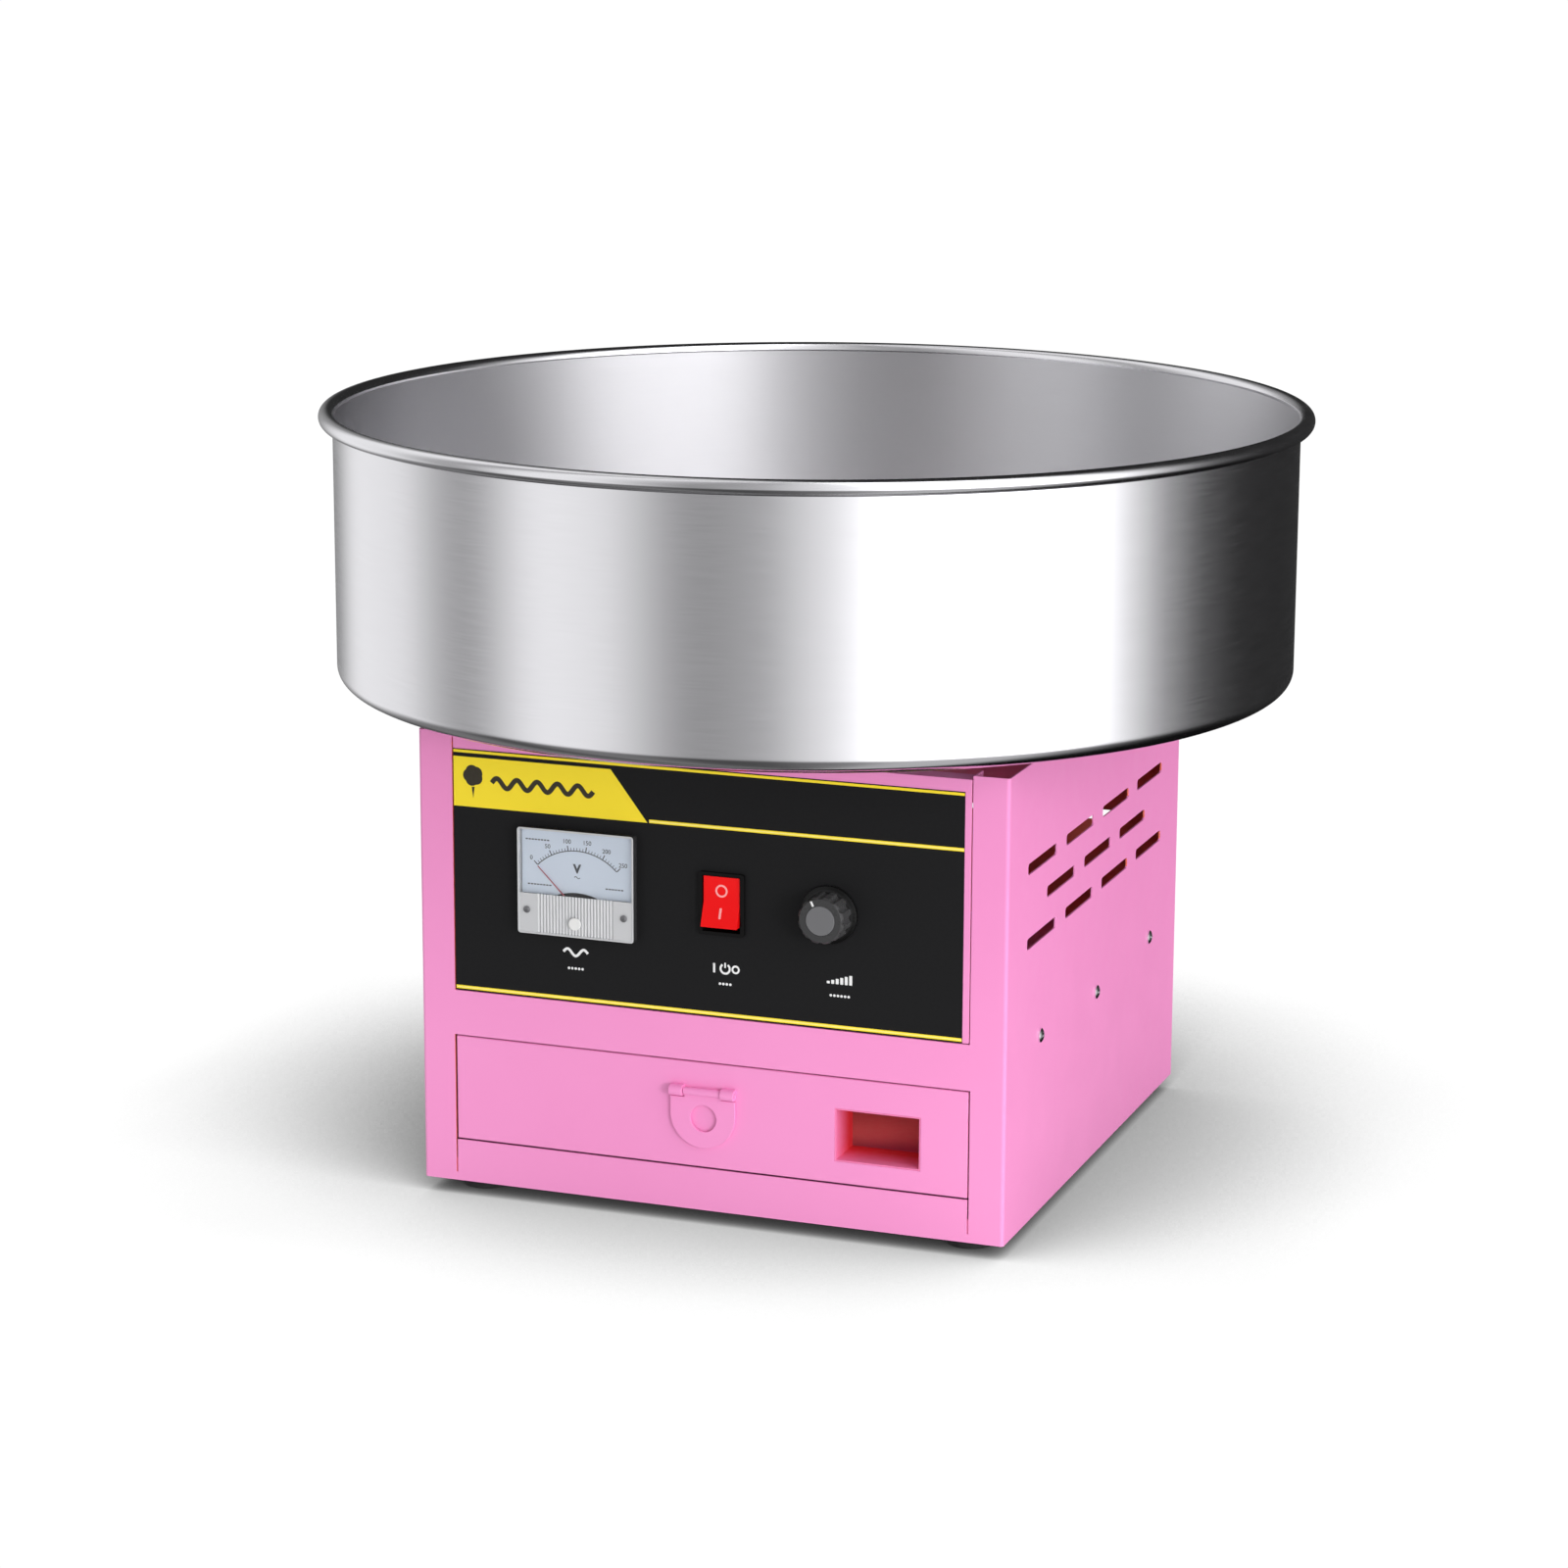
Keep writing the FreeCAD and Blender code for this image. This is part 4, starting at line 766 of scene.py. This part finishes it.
def control_signs(sign_row, dot_row):
    """A plain sign and a row of dots under each control, each a little to one side of it."""
    meter_x = middle_x("meter_dial") - 2.0
    switch_x = middle_x("rocker") + 1.5
    knob_x = middle_x("knob_cap") + 5.5
    dot_pitch = 1.9
    half_wave = 6.8
    signs = [wave((meter_x - half_wave, meter_x + half_wave), sign_row, 1.8, 1.5, 1.4)]
    signs += power_sign(switch_x, sign_row - 0.4, 2.5)
    signs += dial_sign(knob_x, sign_row, 2.4)
    for x, dots in ((meter_x, 5), (switch_x, 4), (knob_x, 6)):
        for i in range(dots):
            signs.append(round_loop(x + dot_pitch * (i - (dots - 1) / 2), dot_row, 0.7, 16))
    film_print("control_signs", signs, PRINT_WHITE)


def power_sign(x, z, size):
    """An open ring with a bar in the gap, between the marks for on and off."""
    ring = ribbon(arc((x, z), size, 125, 415, 30), 1.1)
    gap_bar = box_loop(x - 0.45, x + 0.45, z + 0.4, z + size + 0.7, 0.2)
    on_mark = box_loop(x - 6.6, x - 5.4, z - size, z + size, 0.3)
    return [ring, gap_bar, on_mark] + ring_loops(x + 5.7, z, size * 0.9, 1.0)


def dial_sign(x, z, size):
    """Bars that grow to the right, for more heat."""
    pitch = 2.4
    growth = 0.75
    bars = []
    for i in range(6):
        left = x - 7.0 + pitch * i
        bars.append(box_loop(left, left + 1.6, z - size, z - size + 1.3 + growth * i, 0.3))
    return bars


# ---------------------------------------------------------------- voltmeter

def lens_top():
    """Height at which the clear window of the meter ends and its ribbed lens begins."""
    low, high = in_mm("meter_cover")
    lens_share = 0.382
    return low.z + lens_share * (high.z - low.z)


def meter_face():
    """The scale and figures printed on the dial, and the black hump over the movement."""
    pivot = JOINT_PLACE["needle_swing"].xz / MM
    back = in_mm("meter_dial")[0].y
    ink = 0.05
    reach = 31.0
    scale_start = 135
    scale_sweep = 90
    loops = [ribbon(arc(pivot, reach, scale_start - scale_sweep, scale_start, 60), 0.5)]
    divisions = 30
    figure_every = 6
    tick_start = reach + 0.25
    for i in range(divisions + 1):
        angle = math.radians(scale_start - scale_sweep * i / divisions)
        along = Vector((math.cos(angle), math.sin(angle)))
        length, width = (2.6, 0.55) if i % figure_every == 0 else (1.4, 0.3)
        loops.append(ribbon([pivot + along * tick_start, pivot + along * (tick_start + length)], width))
    loops.append(wave((pivot.x - 1.6, pivot.x + 1.6), pivot.y + 17.0, 0.5, 1, 0.4))

    # Three rows of dashes where the small print was: start, height and number.
    dash_pitch = 1.7
    for x, rise, count in ((-28.5, 34.9, 8), (-27.5, 11.2, 8), (15.8, 12.1, 6)):
        for i in range(count):
            left = pivot.x + x + dash_pitch * i
            loops.append(box_loop(left, left + 1.2, pivot.y + rise, pivot.y + rise + 0.7))
    piece("dial_scale", upright_plate("dial_scale", loops, back, ink), "meter_face", "cabinet",
          material=DIAL_INK)
    figures = divisions // figure_every
    for i in range(figures + 1):
        angle = math.radians(scale_start - scale_sweep * i / figures)
        spot = pivot + Vector((math.cos(angle), math.sin(angle))) * (reach + 5.0)
        print_figure("dial_figure_%d" % i, str(50 * i), spot, 3.2, back, ink)
    print_figure("dial_unit", "V", pivot + Vector((0, 21.4)), 6.2, back, ink, 0.3)

    split = lens_top()
    rise = 1.6
    radius = 34
    half_width = 10.8
    centre = (pivot.x, split + rise - radius)
    half_turn = math.degrees(math.asin(half_width / radius))
    hump = arc(centre, radius, 90 - half_turn, 90 + half_turn, 24)
    hump += [(pivot.x - half_width, split - 1.5), (pivot.x + half_width, split - 1.5)]
    piece("dial_hump", upright_plate("dial_hump", [hump], back, 0.5, 0.1), "black_plastic", "cabinet")


def print_figure(name, text, spot, size, back, ink, weight=0.03):
    """A figure of the scale, centred on a spot."""
    data = bpy.data.curves.new(name, "FONT")
    data.body = text
    data.size = size * MM
    data.align_x = "CENTER"
    data.align_y = "CENTER"
    data.extrude = ink / 2 * MM
    data.offset = weight * MM
    mesh = stood_up(data, back - ink / 2)
    mesh.transform(Matrix.Translation((spot[0] * MM, 0, spot[1] * MM)))
    piece(name, mesh, "meter_face", "cabinet", material=DIAL_INK)


def thin_needle():
    """Stands for the needle: its hub as it is, and its blade narrowed beyond the hub."""
    bm = welded("meter_needle")
    point = Vector((-1, 0, 1)).normalized()
    across = Vector((1, 0, 1)).normalized()
    hub = 5.0
    narrowing = 0.55
    for vert in bm.verts:
        offset = vert.co - JOINT_PLACE["needle_swing"]
        if offset.dot(point) > hub * MM:
            vert.co -= across * offset.dot(across) * narrowing
    mesh = mesh_from(bm, "meter_needle")
    mesh.materials.clear()
    piece("meter_needle.thin", mesh, "needle_red", "needle", ("meter_needle",))


def meter_cover():
    """Clear window over the dial, milky ribbed lens below it, and a rim with smoked outer sides."""
    low, high = in_mm("meter_cover")
    wall = 1.0
    split = lens_top()
    rim = upright_plate("meter_rim", [
        box_loop(low.x, high.x, low.z, high.z, 1.6),
        box_loop(low.x + wall, high.x - wall, low.z + wall, high.z - wall, 0.8)],
        high.y, high.y - low.y, 0.2)
    rim.materials.append(MILKY)
    rim.materials.append(SMOKED_EDGE)
    middle = (low + high) / 2 * MM
    for face in rim.polygons:
        outward = face.normal.dot(face.center - middle) > 0
        if outward and abs(face.normal.y) < 0.3:
            face.material_index = 1
    piece("meter_rim", rim, "clear_cover", "cabinet", ("meter_cover",))
    window = upright_plate("meter_window", [
        box_loop(low.x + wall, high.x - wall, split, high.z - wall)], low.y + 1.1, 0.8)
    piece("meter_window", window, "clear_cover", "cabinet")
    ribbed_lens((low.x + wall, high.x - wall), (low.z + wall, split), low.y + 0.25)


def ribbed_lens(x_span, z_span, face):
    """Upright ribs between the two plain ends where the screws are."""
    bm = bmesh.new()
    middle = (x_span[0] + x_span[1]) / 2
    pitch = 1.75
    half_depth = 0.34
    ribbed_half = 21.0
    steps = 280
    profile = []
    for i in range(steps + 1):
        x = x_span[0] + (x_span[1] - x_span[0]) * i / steps
        inside = abs(x - middle) < ribbed_half
        groove = half_depth * (1 - math.cos(2 * math.pi * (x - middle) / pitch)) if inside else 0.0
        profile.append((x, face + groove))
    back = face + 1.0
    section = profile + [(x_span[1], back), (x_span[0], back)]
    bottom = [bm.verts.new((x * MM, y * MM, z_span[0] * MM)) for x, y in section]
    top = [bm.verts.new((x * MM, y * MM, z_span[1] * MM)) for x, y in section]
    for i in range(len(section)):
        j = (i + 1) % len(section)
        bm.faces.new((bottom[i], bottom[j], top[j], top[i]))
    bm.faces.new(bottom)
    bm.faces.new(top)
    piece("meter_lens", mesh_from(bm, "meter_lens"), "clear_cover", "cabinet", material=MILKY, sharp=60)


# ---------------------------------------------------------------- switch and knob

def switch_marks():
    """The ring and the bar on the two faces of the rocker, in its off position."""

    # The faces rise from a crease in the middle to a tip at either end, in mm from the pivot.
    tilt = Matrix.Rotation(math.radians(-10), 4, "X")
    crease_depth = -5.6
    tip_depth = -7.9
    tip_height = 13.1
    lean = math.atan2(crease_depth - tip_depth, tip_height)
    for name, up, loops in (("switch_ring", 1, ring_loops(0, 5.9, 3.3, 0.95)),
                            ("switch_bar", -1, [box_loop(-0.6, 0.6, -8.6, -3.0, 0.4)])):
        mesh = upright_plate(name, loops, 0.02, 0.12)
        face = Matrix.Translation((0, crease_depth * MM, 0)) @ Matrix.Rotation(up * lean, 4, "X")
        mesh.transform(Matrix.Translation(JOINT_PLACE["rocker_tip"]) @ tilt @ face)
        piece(name, mesh, "rocker_red", "rocker", material=MARK_PINK)


def knob_pointer():
    """White mark on the knob's rim, just outside the cap."""
    low, high = in_mm("knob_body")
    centre = ((low + high) / 2).xz
    left_of_top = 27
    turn = math.radians(90 + left_of_top)
    along = Vector((math.cos(turn), math.sin(turn)))
    start = centre + along * 8.1
    end = centre + along * 10.9
    mesh = upright_plate("knob_pointer", [ribbon([start, end], 1.1)], low.y + 0.05, 0.2, 0.05)
    piece("knob_pointer", mesh, "white_plastic", "knob", material=PRINT_WHITE)


# ---------------------------------------------------------------- screws

def islands(node):
    """The boxes of a node's separate solids, in mm, in the order of the mesh's own points."""
    bm = welded(node)
    seen = set()
    boxes = []
    for start in bm.verts:
        if start in seen:
            continue
        seen.add(start)
        reached = [start]
        for vert in reached:
            for edge in vert.link_edges:
                other = edge.other_vert(vert)
                if other not in seen:
                    seen.add(other)
                    reached.append(other)
        low = Vector([min(v.co[i] for v in reached) / MM for i in range(3)])
        high = Vector([max(v.co[i] for v in reached) / MM for i in range(3)])
        boxes.append((low, high))
    bm.free()
    return boxes


def screw_mesh(radius, height, shank_radius, shank):
    """A pan-head screw along +Z, seated at z = 0, with a cross recess, from sizes in mm."""
    dome = radius * 1.6
    crown = arc((0, height - dome), dome, 90, 58, 5)
    profile = crown + [(radius, height * 0.42), (radius, 0), (shank_radius, 0),
                       (shank_radius, -shank), (0, -shank)]
    profile = [(r * MM, z * MM) for r, z in profile]
    head = bpy.data.objects.new("screw", mesh_from(lathe(profile, 40), "screw"))
    bm = bmesh.new()
    length = radius * 1.15
    width = radius * 0.24
    for turn in (0, math.pi / 2):
        size = Matrix.Diagonal((length * MM, width * MM, height * MM, 1))
        place = Matrix.Translation((0, 0, height * 0.98 * MM)) @ Matrix.Rotation(turn, 4, "Z")
        bmesh.ops.create_cube(bm, size=1, matrix=place @ size)
    recess = bpy.data.objects.new("recess", mesh_from(bm, "recess"))
    for thing in (head, recess):
        bpy.context.collection.objects.link(thing)
    boolean = head.modifiers.new("recess", "BOOLEAN")
    boolean.operation = "DIFFERENCE"
    boolean.solver = "EXACT"
    boolean.use_self = True
    boolean.object = recess
    mesh = evaluated(head)
    bpy.data.objects.remove(recess)
    return mesh


def pan_heads(node, height, shank_radius, radius=None, material=None):
    """Stands for a node of screws: the same screws with domed heads and cross recesses.

    A screw across the machine has its head on the outside, and an upright one has it on top.
    """
    bm = bmesh.new()
    template = None
    turn_between = 0.7
    for count, (low, high) in enumerate(islands(node)):
        size = high - low
        axis = max(range(3), key=lambda i: size[i])
        across = min(size)
        if template is None:
            template = screw_mesh(radius or across / 2, height, shank_radius, size[axis] - height)
        middle = (low + high) / 2
        outward = 1 if axis == 2 or middle[axis] > 0 else -1
        seat = middle.copy()
        seat[axis] = (high[axis] - height) if outward > 0 else (low[axis] + height)
        aim = Vector([outward if i == axis else 0 for i in range(3)])
        spin = Matrix.Rotation(turn_between * count, 4, "Z")
        place = Matrix.Translation(seat * MM) @ aim.to_track_quat("Z", "Y").to_matrix().to_4x4() @ spin
        one = template.copy()
        one.transform(place)
        bm.from_mesh(one)
        bpy.data.meshes.remove(one)
    mesh = mesh_from(bm, node)
    mesh.materials.clear()
    piece(node + ".pan", mesh, NODE_SLOT[node], NODE_BODY[node], (node,), material, 30)


# ---------------------------------------------------------------- the whole model

# CAD nodes with the width in mm by which their edges are eased.
SHEET_METAL = {"control_panel_plate": 0.4, "drawer_front": 0.25, "pull_tab": 0.35, "pull_ears": 0.5}
# The shell and the rear panel get painted shade on their inner faces.
SHADE_LINED = {"cabinet_shell": 0.3, "rear_panel": 0.3}
MOULDED = {"switch_housing": 0.45, "rocker": 0.6, "knob_body": 0.35, "knob_cap": 0.3, "gland_body": 0.6,
           "rubber_feet": 0.8, "meter_zero_screw": 0.4, "bowl_gasket": 0.3}
MACHINED = {"head_base": 0.4, "head_cover": 0.4, "head_band": 0.12, "sugar_cup": 0.3, "head_nut": 0.5,
            "bowl_collar": 0.25, "bowl_seat_ring": 0.4}
OWN_MATERIAL = {"knob_body": KNOB_PLASTIC, "switch_housing": BLACK_GLOSS}

dress_cad()
for group in (SHEET_METAL, MOULDED, MACHINED):
    for node_name, ease in group.items():
        eased(node_name, ease, material=OWN_MATERIAL.get(node_name))
# Their inner faces get the red of painted shade.
for node_name, ease in SHADE_LINED.items():
    eased(node_name, ease, shade_lining=RED_SHADE_INSIDE)
# The tray gets the deeper pink of painted shade.
eased("drawer_tray", 0.2, material=SHADE_PINK_COAT)
# The window's sleeve reddens inwards in painted shade.
eased("window_sleeve", 0.2, material=SLEEVE_SHADE)
# The deck gets the deeper pink of painted shade.
eased("top_deck", 0.3, material=SHADE_PINK_COAT)
make_bowl()
panel_print()
meter_face()
meter_cover()
switch_marks()
knob_pointer()
pan_heads("cabinet_screws", 2.2, 2.0)
pan_heads("head_screws", 2.0, 1.55)
pan_heads("meter_screws", 1.0, 1.2, 1.8, DULL_SCREW)
thin_needle()
